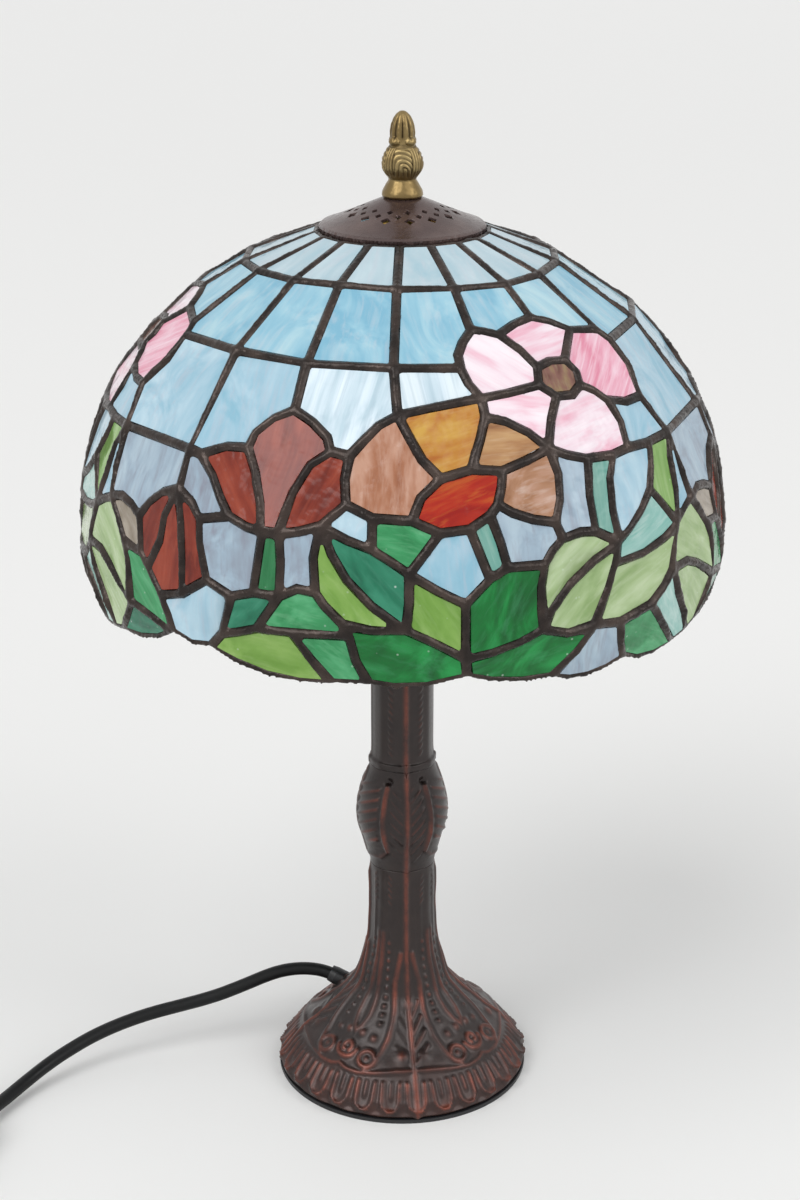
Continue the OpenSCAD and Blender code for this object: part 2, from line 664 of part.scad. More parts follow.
tip_z = body_z + 19.4;
module bulb_contact() {
    color("silver")
        translate([0, 0, tip_z])
            cylinder(r = 4, h = 1.2);
}
module bulb_insulator() {
    color("black")
        translate([0, 0, tip_z + 1.2 + seat_gap])
            cylinder(r1 = 6, r2 = bulb_cap_r - 1, h = 2);
}
bulb_cap_z = tip_z + 3.3;
module bulb_cap() {
    color("silver")
        difference() {
            translate([0, 0, bulb_cap_z])
                cylinder(r = bulb_cap_r, h = 24);
            translate([0, 0, bulb_cap_z + 1])
                cylinder(r = bulb_cap_r - 0.5, h = 24);
        }
}
globe_z = bulb_cap_z + bulb_reach;
module bulb_glass() {
    t = 0.9;
    low = bulb_cap_z + 14;
    function skin(r, neck) = concat([[neck, low], [neck, low + 14]],
        [for (a = [-52:8.875:90]) [max(r * cos(a), 0), globe_z + r * sin(a)]]);
    outer = skin(bulb_r, bulb_cap_r - 0.6);
    inner = skin(bulb_r - t, bulb_cap_r - 0.6 - t);
    color("whitesmoke")
        rotate_extrude()
            polygon(concat(outer, [for (i = [len(inner) - 1:-1:0]) inner[i]]));
}
module bulb_stem() {
    color("white")
        translate([0, 0, bulb_cap_z + 14.2]) {
            cylinder(r1 = bulb_cap_r - 1.6, r2 = 3, h = 13);
            cylinder(r = 3, h = 27.8);
        }
}
module bulb_filament() {
    z = bulb_cap_z + 42 + seat_gap;
    color("orange")
        for (x = [-8, 8]) {
            translate([x, 0, z + 2])
                cylinder(r = 0.9, h = 28, $fn = 16);
            translate([x > 0 ? 0 : x, -0.6, z])
                cube([8, 1.2, 2]);
        }
}

// ------------------------------------------------------------------- stand

module top_cup() {
    color("darkgoldenrod")
        rotate_extrude()
            polygon([[pipe_r + pipe_slack, column_top + seat_gap], [17.5, column_top + seat_gap],
                [17.5, column_top + 2], [15, column_top + 3.6], [11, saddle_z - seat_gap],
                [pipe_r + pipe_slack, saddle_z - seat_gap]]);
}
module column() {
    color("saddlebrown")
        difference() {
            rotate_extrude()
                polygon([[pipe_r + pipe_slack, column_z + seat_gap], [column_r + 1.2, column_z + seat_gap],
                    [column_r + 1.2, column_z + 3], [column_r, column_z + 6], [column_r, column_top - 8],
                    [column_r + 1.6, column_top - 5], [column_r + 1.6, column_top],
                    [pipe_r + pipe_slack, column_top]]);
            translate([0, 0, column_z + 8])
                cylinder(r = column_r - 4, h = column_top - column_z - 18);
        }
}
module knop() {
    // Radii are shares of the belly, heights shares of the piece
    line = [[0.725, 0], [0.75, 0.06], [0.82, 0.17], [0.885, 0.27], [0.97, 0.38], [1, 0.48], [0.985, 0.6],
        [0.925, 0.72], [0.85, 0.83], [0.76, 0.94], [0.72, 1]];
    h = column_z - knop_z - seat_gap;
    color("saddlebrown")
        translate([0, 0, knop_z + seat_gap])
            rotate_extrude()
                polygon(concat([[pipe_r + pipe_slack, 0]], [for (p = line) [p[0] * knop_r, p[1] * h]],
                    [[pipe_r + pipe_slack, h]]));
}

// The foot: outside line upwards, then the bore and the hollow downwards
boss_z = 44;
function foot_x(r) = r < 20 ? r : 20 + (r - 20) * (foot_r - 20) / 43.5;
foot_outside = [[62.6, 2], [63.5, 4], [60.8, 7], [58.2, 10], [55.2, 14], [52, 18], [48.4, 22],
    [43.2, 26], [38.8, 30], [34.9, 34], [30.8, 38], [27, 42], [23.9, 46], [22.1, 50], [20.6, 55],
    [19.2, 60], [17.7, 66], [16.6, 74], [16.1, 84]];
foot_inside = [[16.5, 44], [24.7, 39.5], [28.4, 35.7], [32.4, 31.7], [36.3, 27.7], [40.7, 23.7],
    [46, 19.6], [49.6, 15.6], [52.9, 11.5], [56.5, 7.5], [60, 4], [60, 2]];
cord_exit = [-31.5, 22.6, 31.5];
// Which way the bushing points, and how far it leans over
cord_exit_angle = 165;
cord_exit_lean = 68;
module foot() {
    color("saddlebrown")
        difference() {
            rotate_extrude()
                polygon(concat([for (p = foot_outside) [foot_x(p[0]), p[1]]], [[16, knop_z]],
                    [[pipe_r + pipe_slack, knop_z], [pipe_r + pipe_slack, boss_z]],
                    [for (p = foot_inside) [foot_x(p[0]), p[1]]]));
            bushing_place()
                translate([0, 0, -10])
                    cylinder(r = 4.6, h = 20);
        }
}
// The bushing points the way that the cord leaves the foot's slope
module bushing_place() {
    translate(cord_exit)
        rotate([0, 0, cord_exit_angle])
            rotate([0, cord_exit_lean, 0])
                children();
}
module cord_bushing() {
    color("black")
        bushing_place()
            difference() {
                union() {
                    translate([0, 0, -7])
                        cylinder(r = 4.5, h = 10);
                    translate([0, 0, 3])
                        cylinder(r1 = 4.5, r2 = 4.1, h = 3);
                }
                translate([0, 0, -8])
                    cylinder(r = cord_d / 2 + 0.3, h = 16);
            }
}
nut_z = 7;
pipe_bottom = 6;
module threaded_pipe() {
    color("silver")
        ring(pipe_r, pipe_bore_r, pipe_bottom, socket_z + 8);
}
module pipe_nut() {
    color("silver")
        translate([0, 0, nut_z])
            difference() {
                cylinder(r = 8, h = 4.4, $fn = 6);
                translate([0, 0, -1])
                    cylinder(r = pipe_r + seat_gap, h = 7);
            }
}
module lock_washer() {
    color("silver")
        ring(8.6, pipe_r + pipe_slack, nut_z + 4.4 + seat_gap, nut_z + 5.4);
}
ballast_z = nut_z + 5.5;
module ballast() {
    color("dimgray")
        difference() {
            union() {
                translate([0, 0, ballast_z])
                    cylinder(r = 43, h = 7);
                translate([0, 0, ballast_z])
                    cylinder(r = 15, h = boss_z - ballast_z - seat_gap);
            }
            translate([0, 0, ballast_z - 1])
                cylinder(r = pipe_r + pipe_slack, h = boss_z - ballast_z + 2);
            translate([-19.5, 14.2, ballast_z - 1])
                cylinder(r = 4.5, h = 9);
        }
}
module bottom_plate() {
    color("gray")
        translate([0, 0, pad_t + seat_gap])
            difference() {
                cylinder(r = 59.5, h = 1.2);
                for (a = [90, 210, 330])
                    rotate([0, 0, a])
                        translate([50, 0, -1])
                            cylinder(r = 2, h = 4, $fn = 24);
            }
}
module foot_pad() {
    color("black")
        cylinder(r = 62, h = pad_t - seat_gap);
}

// -------------------------------------------------------------- cord goods

// A tube along a list of points, with a ring at each
module tube(path, r, sides) {
    n = len(path);
    function heading(i) = unit(path[min(i + 1, n - 1)] - path[max(i - 1, 0)]);
    rings = [for (i = [0:n - 1]) let (
            d = heading(i),
            side = unit(cross(d, abs(d[2]) > 0.9 ? [0, 1, 0] : [0, 0, 1])),
            top = cross(side, d))
        for (k = [0:sides - 1]) path[i] + r * (cos(k * 360 / sides) * side + sin(k * 360 / sides) * top)];
    skin = [for (i = [0:n - 2]) for (k = [0:sides - 1]) let (m = (k + 1) % sides)
        each [[i * sides + k, i * sides + m, (i + 1) * sides + m],
            [i * sides + k, (i + 1) * sides + m, (i + 1) * sides + k]]];
    ends = [[for (k = [sides - 1:-1:0]) k], [for (k = [0:sides - 1]) (n - 1) * sides + k]];
    polyhedron(points = rings, faces = concat(skin, ends), convexity = 10);
}
// A smooth curve through hand-chosen points, in steps between each two
function curve_at(p, i, t) = let (
        n = len(p),
        a = p[max(i - 1, 0)],
        b = p[i],
        c = p[min(i + 1, n - 1)],
        d = p[min(i + 2, n - 1)])
    0.5 * (2 * b + (c - a) * t + (2 * a - 5 * b + 4 * c - d) * t * t + (3 * b - a - 3 * c + d) * t * t * t);
function smooth(p, steps) = concat(
    [for (i = [0:len(p) - 2]) for (k = [0:steps - 1]) curve_at(p, i, k / steps)], [p[len(p) - 1]]);

floor_z = cord_d / 2;
// Height of the cord's middle inside the switch
switch_mid = floor_z + 4.6;
// The cord from inside the bushing, over its hump, down to the table, through the switch
// and on to the coil
cord_route = [[-27.9, 21.6, 30], [-34.4, 23.4, 32.6], [-41.3, 24.6, 34.7], [-48.6, 24.8, 35.7],
    [-56.4, 24, 35.8], [-63.8, 22.3, 35.1], [-70.7, 20.2, 33.6], [-77.4, 17.8, 31.8],
    [-84.8, 15.4, 29.7], [-93.2, 12.9, 27.5], [-102.6, 10.6, 25.5], [-112.6, 8.1, 23.9],
    [-127.5, 3.8, 21.8], [-142.2, -2.1, 19.3], [-156, -9.5, 16.2], [-168.6, -18.5, 12.5],
    [-177.3, -26.4, 9.7], [-184.9, -35.3, 7.3], [-191.4, -45.2, 6], [-196, -53.6, 5.9],
    [-200.2, -62, 6.5], [-204.3, -70.6, 7.3], [-208.1, -79.2, switch_mid],
    [-211.7, -88, switch_mid], [-215.3, -96.8, switch_mid], [-218.9, -105.6, switch_mid],
    [-222.5, -114.4, switch_mid], [-226.1, -123.2, switch_mid], [-229.7, -131.9, 7.2],
    [-233.8, -140.4, 6], [-238.6, -148.4, 4.8], [-244.5, -155.8, 3.9], [-251.7, -161.9, 3.4],
    [-260, -166.4, 3.3], [-269.1, -169.1, 3.3], [-278.5, -170, floor_z], [-290, -170, floor_z]];
// From the top of the coil across to the plug
tail_route = [[-332.5, -127.5, floor_z + cord_d], [-332.5, -116, 10], [-332.5, -104, 11.2],
    [-332.5, -92, 12.4], [-332.5, -81, 13]];
module cord() {
    color("black") {
        tube(smooth(cord_route, 2), cord_d / 2, 10);
        tube(smooth(tail_route, 3), cord_d / 2, 10);
    }
}

coil_place = [-290, -127.5];
coil_mean_r = 36;
coil_wide = coil_turns / coil_layers * cord_d;
module cord_coil() {
    color("black")
        translate([coil_place[0], coil_place[1], 0])
            ring(coil_mean_r + coil_wide / 2, coil_mean_r - coil_wide / 2, 0, coil_layers * cord_d);
}

// The switch sits on the cord: its middle, and the way the cord runs through it
switch_place = [-217, -101];
switch_angle = atan2(-54, -22);
switch_len = 58;
switch_half = 11;
module switch_frame() {
    translate([switch_place[0], switch_place[1], 0])
        rotate([0, 0, switch_angle])
            children();
}
module switch_half_shape(low, high) {
    translate([-switch_len / 2 + switch_half, 0, low])
        cylinder(r = switch_half, h = high - low);
    translate([switch_len / 2 - switch_half, 0, low])
        cylinder(r = switch_half, h = high - low);
    translate([-switch_len / 2 + switch_half, -switch_half, low])
        cube([switch_len - 2 * switch_half, 2 * switch_half, high - low]);
}
module switch_bore() {
    translate([-switch_len, 0, switch_mid])
        rotate([0, 90, 0])
            cylinder(r = cord_d / 2 + 0.35, h = 2 * switch_len);
}
module switch_base() {
    color("black")
        switch_frame()
            difference() {
                switch_half_shape(0, switch_mid);
                switch_bore();
            }
}
rocker_z = 16.5;
// The rocker turns on a pin through the cover's two side walls
rocker_pivot_z = rocker_z - 2.5;
rocker_pin_r = 1.2;
rocker_pin_len = 12;
module rocker_pin_shape(spare) {
    translate([0, rocker_pin_len / 2 + spare, rocker_pivot_z])
        rotate([90, 0, 0])
            cylinder(r = rocker_pin_r + spare, h = rocker_pin_len + 2 * spare);
}
module switch_cover() {
    color("black")
        switch_frame()
            difference() {
                switch_half_shape(switch_mid + seat_gap, rocker_z);
                switch_bore();
                translate([-8.4, -4.4, switch_mid + 4])
                    cube([16.8, 8.8, 20]);
                rocker_pin_shape(seat_gap);
            }
}
module switch_rocker() {
    color("white")
        switch_frame() {
            translate([0, 4, rocker_pivot_z])
                rotate([90, 0, 0])
                    linear_extrude(8)
                        polygon([[-1.8, -1.4], [1.8, -1.4], [6.6, 0.3], [7.4, 2.5], [6.8, 4.6], [0, 3.3],
                            [-6.8, 4.6], [-7.4, 2.5], [-6.6, 0.3]]);
            rocker_pin_shape(0);
        }
}

// The plug lies beside the coil, with the end of the cord in its tapered neck
plug_x = coil_place[0] - 42.5;
plug_y = coil_place[1] + 50;
plug_z = 13;
module plug_body() {
    color("black")
        translate([plug_x, plug_y, plug_z])
            rotate([-90, 0, 0]) {
                cylinder(r1 = 4.4, r2 = 6.5, h = 22);
                translate([0, 0, 22])
                    cylinder(r1 = 9, r2 = 12.6, h = 8);
                translate([0, 0, 30])
                    cylinder(r = 12.6, h = 10);
                tail_start();
            }
}
module tail_start() {
    translate([0, 0, -6])
        cylinder(r1 = 3.6, r2 = 4.4, h = 6);
}
module plug_pins() {
    color("silver")
        for (x = [-9.5, 9.5])
            translate([plug_x + x, plug_y + 40 + seat_gap, plug_z])
                rotate([-90, 0, 0])
                    cylinder(r = 2.4, h = 19);
}

// Two insulated wires from the bushing, under the ballast and up the pipe to the socket
wire_route = [[-27.2, 21.4, 29.7], [-23.6, 19.2, 27.2], [-20.4, 15.6, 22], [-19.5, 14, 14],
    [-16.5, 12, 8.6], [-11, 8, 5.2], [-6, 4.3, 4.6], [-2, 1.4, 4.8], [-0.3, 0.2, 7.2], [0, 0, 12],
    [0, 0, 60], [0, 0, 110], [0, 0, 160], [0, 0, 210], [0, 0, body_z - 4]];
module lamp_wires() {
    color("ivory")
        for (side = [-1.4, 1.4])
            tube(smooth([for (p = wire_route) p + [0.6 * side, 0.8 * side, 0]], 3), 1.1, 8);
}

// ------------------------------------------------------------------- parts

sky_glass_crown();
sky_glass_upper();
sky_glass_lower();
lilac_glass();
white_glass();
pink_petals();
flower_hearts();
orange_petals();
tulip_petals();
bud_petals();
bud_sepals();
flower_stems();
mint_leaves();
bright_blades();
pale_leaves();
lime_leaves();
teal_leaves();
emerald_leaves();
green_leaves();
solder_lattice();
crown_ring();
vent_cap();
finial();
harp_wire();
harp_seat();
harp_saddle();
harp_sleeve_left();
harp_sleeve_right();
socket_cap();
socket_shell();
socket_liner();
socket_body();
screw_shell();
centre_contact();
terminal_screws();
bulb_glass();
bulb_cap();
bulb_insulator();
bulb_contact();
bulb_stem();
bulb_filament();
top_cup();
column();
knop();
foot();
threaded_pipe();
pipe_nut();
lock_washer();
ballast();
bottom_plate();
foot_pad();
cord_bushing();
lamp_wires();
cord();
cord_coil();
switch_base();
switch_cover();
switch_rocker();
plug_body();
plug_pins();
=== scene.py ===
import random
from math import atan2, cos, degrees, hypot, pi, radians, sin

import bmesh
import bpy
import numpy as np
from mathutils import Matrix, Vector, noise


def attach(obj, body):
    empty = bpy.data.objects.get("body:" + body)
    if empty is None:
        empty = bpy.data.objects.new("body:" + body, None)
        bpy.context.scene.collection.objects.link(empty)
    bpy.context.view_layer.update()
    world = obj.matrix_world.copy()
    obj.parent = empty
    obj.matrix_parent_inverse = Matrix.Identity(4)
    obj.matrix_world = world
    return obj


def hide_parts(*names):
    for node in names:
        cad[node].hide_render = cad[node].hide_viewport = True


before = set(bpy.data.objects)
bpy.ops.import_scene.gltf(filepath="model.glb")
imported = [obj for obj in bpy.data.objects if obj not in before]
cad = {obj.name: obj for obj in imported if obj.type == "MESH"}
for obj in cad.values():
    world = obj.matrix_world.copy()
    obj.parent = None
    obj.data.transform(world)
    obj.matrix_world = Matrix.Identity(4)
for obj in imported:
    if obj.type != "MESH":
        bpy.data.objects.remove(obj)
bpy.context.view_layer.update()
bpy.ops.object.select_all(action="DESELECT")

# ------------------------------------------------------------------ camera
# The camera stands a metre in front of the lamp, 15 cm above its top, and looks down at its
# middle.
bpy.ops.object.camera_add(location=(-0.0011, -0.998, 0.623), rotation=(radians(90 - 20.63), 0, 0))
camera = bpy.context.object
camera.data.sensor_width = 36
camera.data.lens = 67.97
bpy.context.scene.camera = camera
bpy.context.scene.view_settings.view_transform = "Standard"

# -------------------------------------------------------------------- cord
# Round black rubber flex, 6.5 mm thick and 1.6 m long: out of the bushing, over a low hump,
# down to the table, through the switch, and wound up beyond it, with the plug on its end.
cord_d = 0.0065
floor_mid = cord_d / 2
switch_mid = floor_mid + 0.0046
cord_route = [(-0.0279, 0.0216, 0.03), (-0.0344, 0.0234, 0.0326), (-0.0413, 0.0246, 0.0347),
              (-0.0486, 0.0248, 0.0357), (-0.0564, 0.024, 0.0358), (-0.0638, 0.0223, 0.0351),
              (-0.0707, 0.0202, 0.0336), (-0.0774, 0.0178, 0.0318), (-0.0848, 0.0154, 0.0297),
              (-0.0932, 0.0129, 0.0275), (-0.1026, 0.0106, 0.0255), (-0.1126, 0.0081, 0.0239),
              (-0.1275, 0.0038, 0.0218), (-0.1422, -0.0021, 0.0193), (-0.156, -0.0095, 0.0162),
              (-0.1686, -0.0185, 0.0125), (-0.1773, -0.0264, 0.0097), (-0.1849, -0.0353, 0.0073),
              (-0.1914, -0.0452, 0.006), (-0.196, -0.0536, 0.0059), (-0.2002, -0.062, 0.0065),
              (-0.2043, -0.0706, 0.0073), (-0.2081, -0.0792, switch_mid),
              (-0.2117, -0.088, switch_mid), (-0.2153, -0.0968, switch_mid),
              (-0.2189, -0.1056, switch_mid), (-0.2225, -0.1144, switch_mid),
              (-0.2261, -0.1232, switch_mid), (-0.2297, -0.1319, 0.0072), (-0.2338, -0.1404, 0.006),
              (-0.2386, -0.1484, 0.0048), (-0.2445, -0.1558, 0.0039), (-0.2517, -0.1619, 0.0034),
              (-0.26, -0.1664, 0.0033), (-0.2691, -0.1691, 0.0033), (-0.2785, -0.17, floor_mid),
              (-0.29, -0.17, floor_mid)]
tail_route = [(-0.3325, -0.1275, 0.00975), (-0.3325, -0.116, 0.01), (-0.3325, -0.104, 0.0112),
              (-0.3325, -0.092, 0.0124), (-0.3325, -0.081, 0.013)]
coil_place = (-0.29, -0.1275)
coil_radii = [0.0425, 0.036, 0.0295]


def take_up(piece):
    """Selects one piece and nothing else, ready for the next tool."""
    bpy.ops.object.select_all(action="DESELECT")
    bpy.context.view_layer.objects.active = piece
    piece.select_set(True)


def smooth_line(points, steps):
    """A smooth curve through the points, in steps between each two."""
    last = len(points) - 1
    line = []
    for i in range(last):
        a, b, c, d = (Vector(points[min(max(k, 0), last)]) for k in (i - 1, i, i + 1, i + 2))
        for k in range(steps):
            t = k / steps
            line.append(0.5 * (2 * b + (c - a) * t + (2 * a - 5 * b + 4 * c - d) * t * t
                               + (3 * b - a - 3 * c + d) * t ** 3))
    return line + [Vector(points[last])]


def coil_turns():
    """Three turns inwards on the table, then outwards again on top of them. Each stop is the angle
    wound so far, the radius it lies on and its layer."""
    stops = [(0, 0, 0), (320, 0, 0), (360, 1, 0), (680, 1, 0), (720, 2, 0), (1040, 2, 0), (1080, 2, 1),
             (1400, 2, 1), (1440, 1, 1), (1760, 1, 1), (1800, 0, 1), (1890, 0, 1)]
    line = []
    for (u0, r0, z0), (u1, r1, z1) in zip(stops, stops[1:]):
        steps = (u1 - u0) // 10
        for k in range(steps):
            t = k / steps
            t_soft = t * t * (3 - 2 * t)
            r = coil_radii[r0] + (coil_radii[r1] - coil_radii[r0]) * t_soft
            z = floor_mid + cord_d * (z0 + (z1 - z0) * t_soft)
            turn = radians(-90 - (u0 + (u1 - u0) * t))
            line.append(Vector((coil_place[0] + r * cos(turn), coil_place[1] + r * sin(turn), z)))
    return line


cord_line = smooth_line(cord_route, 5)[:-1] + coil_turns() + smooth_line(tail_route, 5)
cord_data = bpy.data.curves.new("power_cord", "CURVE")
cord_data.dimensions = "3D"
cord_data.bevel_depth = cord_d / 2
cord_data.bevel_resolution = 5
cord_data.use_fill_caps = True
cord_spline = cord_data.splines.new("POLY")
cord_spline.points.add(len(cord_line) - 1)
for point, place in zip(cord_spline.points, cord_line):
    point.co = (*place, 1)
cord_spline.use_smooth = True
power_cord = bpy.data.objects.new("power_cord", cord_data)
bpy.context.collection.objects.link(power_cord)
take_up(power_cord)
bpy.ops.object.convert(target="MESH")
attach(power_cord, "stand")
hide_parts("cord", "cord_coil")


def colour(*chart):
    """A paint chart's red, green and blue, 0 to 255, as the renderer's own linear colour."""
    return tuple(((c / 255 + 0.055) / 1.055) ** 2.4 if c > 10 else c / 3294 for c in chart) + (1,)


def feed(tree, socket, value):
    """Puts a number, or a link from another node, into a socket."""
    if isinstance(value, bpy.types.NodeSocket):
        tree.links.new(value, socket)
    else:
        socket.default_value = value


def add(tree, kind, **values):
    """A node in a tree, with its settings by name and its inputs by name or, as i0, i1, by number."""
    made = tree.nodes.new(kind)
    for name, value in values.items():
        if hasattr(made, name):
            setattr(made, name, value)
        elif name[0] == "i" and name[1:].isdigit():
            feed(tree, made.inputs[int(name[1:])], value)
        else:
            feed(tree, made.inputs[name.replace("_", " ")], value)
    return made


def new_material(name):
    """An empty material with its surface shader, as (material, tree, shader)."""
    material = bpy.data.materials.new(name)
    material.use_nodes = True
    return material, material.node_tree, material.node_tree.nodes["Principled BSDF"]


def new_group(name, inputs, outputs):
    """A node group for an effect that several materials share."""
    group = bpy.data.node_groups.new(name, "ShaderNodeTree")
    for label, kind, value in inputs:
        socket = group.interface.new_socket(label, in_out="INPUT", socket_type="NodeSocket" + kind)
        if value is not None:
            socket.default_value = value
    for label, kind in outputs:
        group.interface.new_socket(label, in_out="OUTPUT", socket_type="NodeSocket" + kind)
    return group, group.nodes.new("NodeGroupInput"), group.nodes.new("NodeGroupOutput")


def use(tree, group, **values):
    """A shared effect placed in a material."""
    made = tree.nodes.new("ShaderNodeGroup")
    made.node_tree = group
    for name, value in values.items():
        feed(tree, made.inputs[name], value)
    return made


def wear(node, material):
    """Puts a material on one of the frame's own pieces."""
    cad[node].data.materials.clear()
    cad[node].data.materials.append(material)


def finish_surface(tree, shader, tint, roughness, bump):
    """Joins a material's colour, roughness and fine relief to its shader."""
    tree.links.new(tint, shader.inputs["Base Color"])
    tree.links.new(roughness, shader.inputs["Roughness"])
    tree.links.new(bump.outputs["Normal"], shader.inputs["Normal"])


# Handling marks: fine scuffs and dust that make a moulded surface duller in patches
scuffs, scuff_in, scuff_out = new_group(
    "handling marks", [("Scale", "Float", 400.0)], [("Roughness", "Float"), ("Height", "Float")])
place = add(scuffs, "ShaderNodeTexCoord").outputs["Object"]
fine = add(scuffs, "ShaderNodeTexNoise", Vector=place, Scale=scuff_in.outputs["Scale"], Detail=6.0)
broad = add(scuffs, "ShaderNodeTexNoise", Vector=place, Scale=60.0, Detail=3.0)
blend = add(scuffs, "ShaderNodeMath", operation="MULTIPLY_ADD", i0=fine.outputs["Fac"], i1=0.5,
            i2=broad.outputs["Fac"])
dull = add(scuffs, "ShaderNodeMapRange", Value=blend.outputs[0],
           From_Min=0.5, From_Max=1.0, To_Min=0.3, To_Max=0.6)
scuffs.links.new(dull.outputs["Result"], scuff_out.inputs["Roughness"])
scuffs.links.new(fine.outputs["Fac"], scuff_out.inputs["Height"])


def moulded(name, body, scale, depth):
    """Moulded rubber or plastic of one colour, with its fine grain and handling marks."""
    material, tree, shader = new_material(name)
    marks = use(tree, scuffs, Scale=scale)
    tone = add(tree, "ShaderNodeMixRGB", i0=marks.outputs["Height"], i1=body,
               i2=tuple(min(1, c * 1.35 + 0.004) for c in body[:3]) + (1,))
    bump = add(tree, "ShaderNodeBump", Strength=0.35, Distance=depth, Height=marks.outputs["Height"])
    finish_surface(tree, shader, tone.outputs[0], marks.outputs["Roughness"], bump)
    return material


cord_rubber = moulded("black flex", colour(12, 13, 14), 900.0, 0.0003)
cord_rubber.node_tree.nodes["Principled BSDF"].inputs["Specular IOR Level"].default_value = 0.25
power_cord.data.materials.append(cord_rubber)

# ----------------------------------------------------- switch, plug, bushing
# Black moulded goods on the flex: the two halves of the in-line switch with its rocker,
# the round plug, and the short tapered bushing in the foot that takes the strain.
black_plastic = moulded("black plastic", colour(24, 24, 26), 1200.0, 0.0002)
for node in ("switch_base", "switch_cover", "plug_body", "cord_bushing"):
    wear(node, black_plastic)
wear("switch_rocker", moulded("rocker plastic", colour(205, 203, 196), 1200.0, 0.0001))

# ------------------------------------------------------------------- stage
# A pale table top in even daylight, with a wide window on the left, a weaker one on the right,
# and two small lamps for glints.
bpy.ops.mesh.primitive_plane_add(size=14, location=(0, 2, 0))
table_top = bpy.context.object
table_top.name = "table_top"
table_paint, tree, shader = new_material("table paint")
shader.inputs["Roughness"].default_value = 0.55
shader.inputs["Specular IOR Level"].default_value = 0.2
mottle = add(tree, "ShaderNodeTexNoise", Scale=3.0, Detail=2.0)
tint = add(tree, "ShaderNodeMixRGB", i0=mottle.outputs["Fac"],
           i1=colour(240, 240, 239), i2=colour(244, 244, 243))
tree.links.new(tint.outputs[0], shader.inputs["Base Color"])
table_top.data.materials.append(table_paint)

world = bpy.data.worlds.new("daylight")
bpy.context.scene.world = world
world.use_nodes = True
tree = world.node_tree
ray = add(tree, "ShaderNodeLightPath")
seen = add(tree, "ShaderNodeMath", operation="MAXIMUM", i0=ray.outputs["Is Camera Ray"],
           i1=ray.outputs["Is Glossy Ray"])
seen = add(tree, "ShaderNodeMath", operation="MAXIMUM", i0=seen.outputs[0],
           i1=ray.outputs["Is Transmission Ray"])
strength = add(tree, "ShaderNodeMapRange", Value=seen.outputs[0], To_Min=0.55, To_Max=0.84)
sky_light = tree.nodes["Background"]
sky_light.inputs["Color"].default_value = (1, 1, 1, 1)
tree.links.new(strength.outputs["Result"], sky_light.inputs["Strength"])


def soft_sun(name, azimuth, elevation, power, spread):
    """Daylight from one side of the room, as from a wide window."""
    bpy.ops.object.light_add(type="SUN", rotation=(radians(90 - elevation), 0, radians(azimuth)))
    sun = bpy.context.object
    sun.name = name
    sun.data.energy = power
    sun.data.angle = radians(spread)


soft_sun("window_left", -40, 50, 1.05, 45)
soft_sun("window_right", 55, 40, 0.6, 50)


def softbox(name, place, target, size, power):
    """A small soft lamp that puts the window's glint on glass and metal."""
    aim = (Vector(target) - Vector(place)).to_track_quat("-Z", "Y").to_euler()
    bpy.ops.object.light_add(type="AREA", location=place, rotation=aim)
    lamp = bpy.context.object
    lamp.name = name
    lamp.data.shape = "RECTANGLE"
    lamp.data.size, lamp.data.size_y = size
    lamp.data.energy = power


softbox("glint_left", (-1.1, -0.9, 1.3), (0, 0, 0.3), (0.5, 0.9), 3.2)
softbox("glint_right", (1.2, -0.5, 1.0), (0, 0, 0.3), (0.4, 0.8), 2)

# ------------------------------------------------------------ stained glass
# Opalescent sheet glass, 2.6 mm thick, cut into 216 panes and wrapped in copper foil. The milky
# streaks run along each pane as the cutter laid it on the sheet, so no two panes are alike.
streaks, s_in, s_out = new_group(
    "glass streaks",
    [("Across", "Float", 12.0), ("Along", "Float", 60.0), ("Swirl", "Float", 12.0)],
    [("Bands", "Float"), ("Wisps", "Float"), ("Seeds", "Float"), ("Ripple", "Float")])
sheet_place = add(streaks, "ShaderNodeUVMap", uv_map="sheet").outputs["UV"]
eddy = add(streaks, "ShaderNodeTexNoise", Vector=sheet_place, Scale=0.018, Detail=1.0)
eddy = add(streaks, "ShaderNodeVectorMath", operation="SUBTRACT",
           i0=eddy.outputs["Color"], i1=(0.5, 0.5, 0.5))
eddy = add(streaks, "ShaderNodeVectorMath", operation="SCALE",
           i0=eddy.outputs[0], Scale=s_in.outputs["Swirl"])
drawn = add(streaks, "ShaderNodeVectorMath", operation="ADD", i0=sheet_place, i1=eddy.outputs[0])
steps = add(streaks, "ShaderNodeCombineXYZ", X=s_in.outputs["Across"], Y=s_in.outputs["Along"], Z=1.0)
laid = add(streaks, "ShaderNodeVectorMath", operation="DIVIDE", i0=drawn.outputs[0], i1=steps.outputs[0])
bands = add(streaks, "ShaderNodeTexNoise", Vector=laid.outputs[0],
            Scale=1.0, Detail=3.0, Roughness=0.55)
bands = add(streaks, "ShaderNodeMapRange", Value=bands.outputs["Fac"], From_Min=0.3, From_Max=0.7)
fine_laid = add(streaks, "ShaderNodeVectorMath", operation="MULTIPLY",
                i0=laid.outputs[0], i1=(3.6, 1.7, 1))
wisps = add(streaks, "ShaderNodeTexNoise", Vector=fine_laid.outputs[0],
            Scale=1.0, Detail=5.0, Roughness=0.6)
wisps = add(streaks, "ShaderNodeMapRange", Value=wisps.outputs["Fac"], From_Min=0.5, From_Max=0.78)
seeds = add(streaks, "ShaderNodeTexVoronoi", Vector=sheet_place, Scale=0.16)
seeds = add(streaks, "ShaderNodeMapRange", Value=seeds.outputs["Distance"], From_Min=0.1, From_Max=0.04)
ripple = add(streaks, "ShaderNodeTexNoise", Vector=sheet_place, Scale=0.11, Detail=2.0)
for made, label in ((bands, "Bands"), (wisps, "Wisps"), (seeds, "Seeds")):
    streaks.links.new(made.outputs["Result"], s_out.inputs[label])
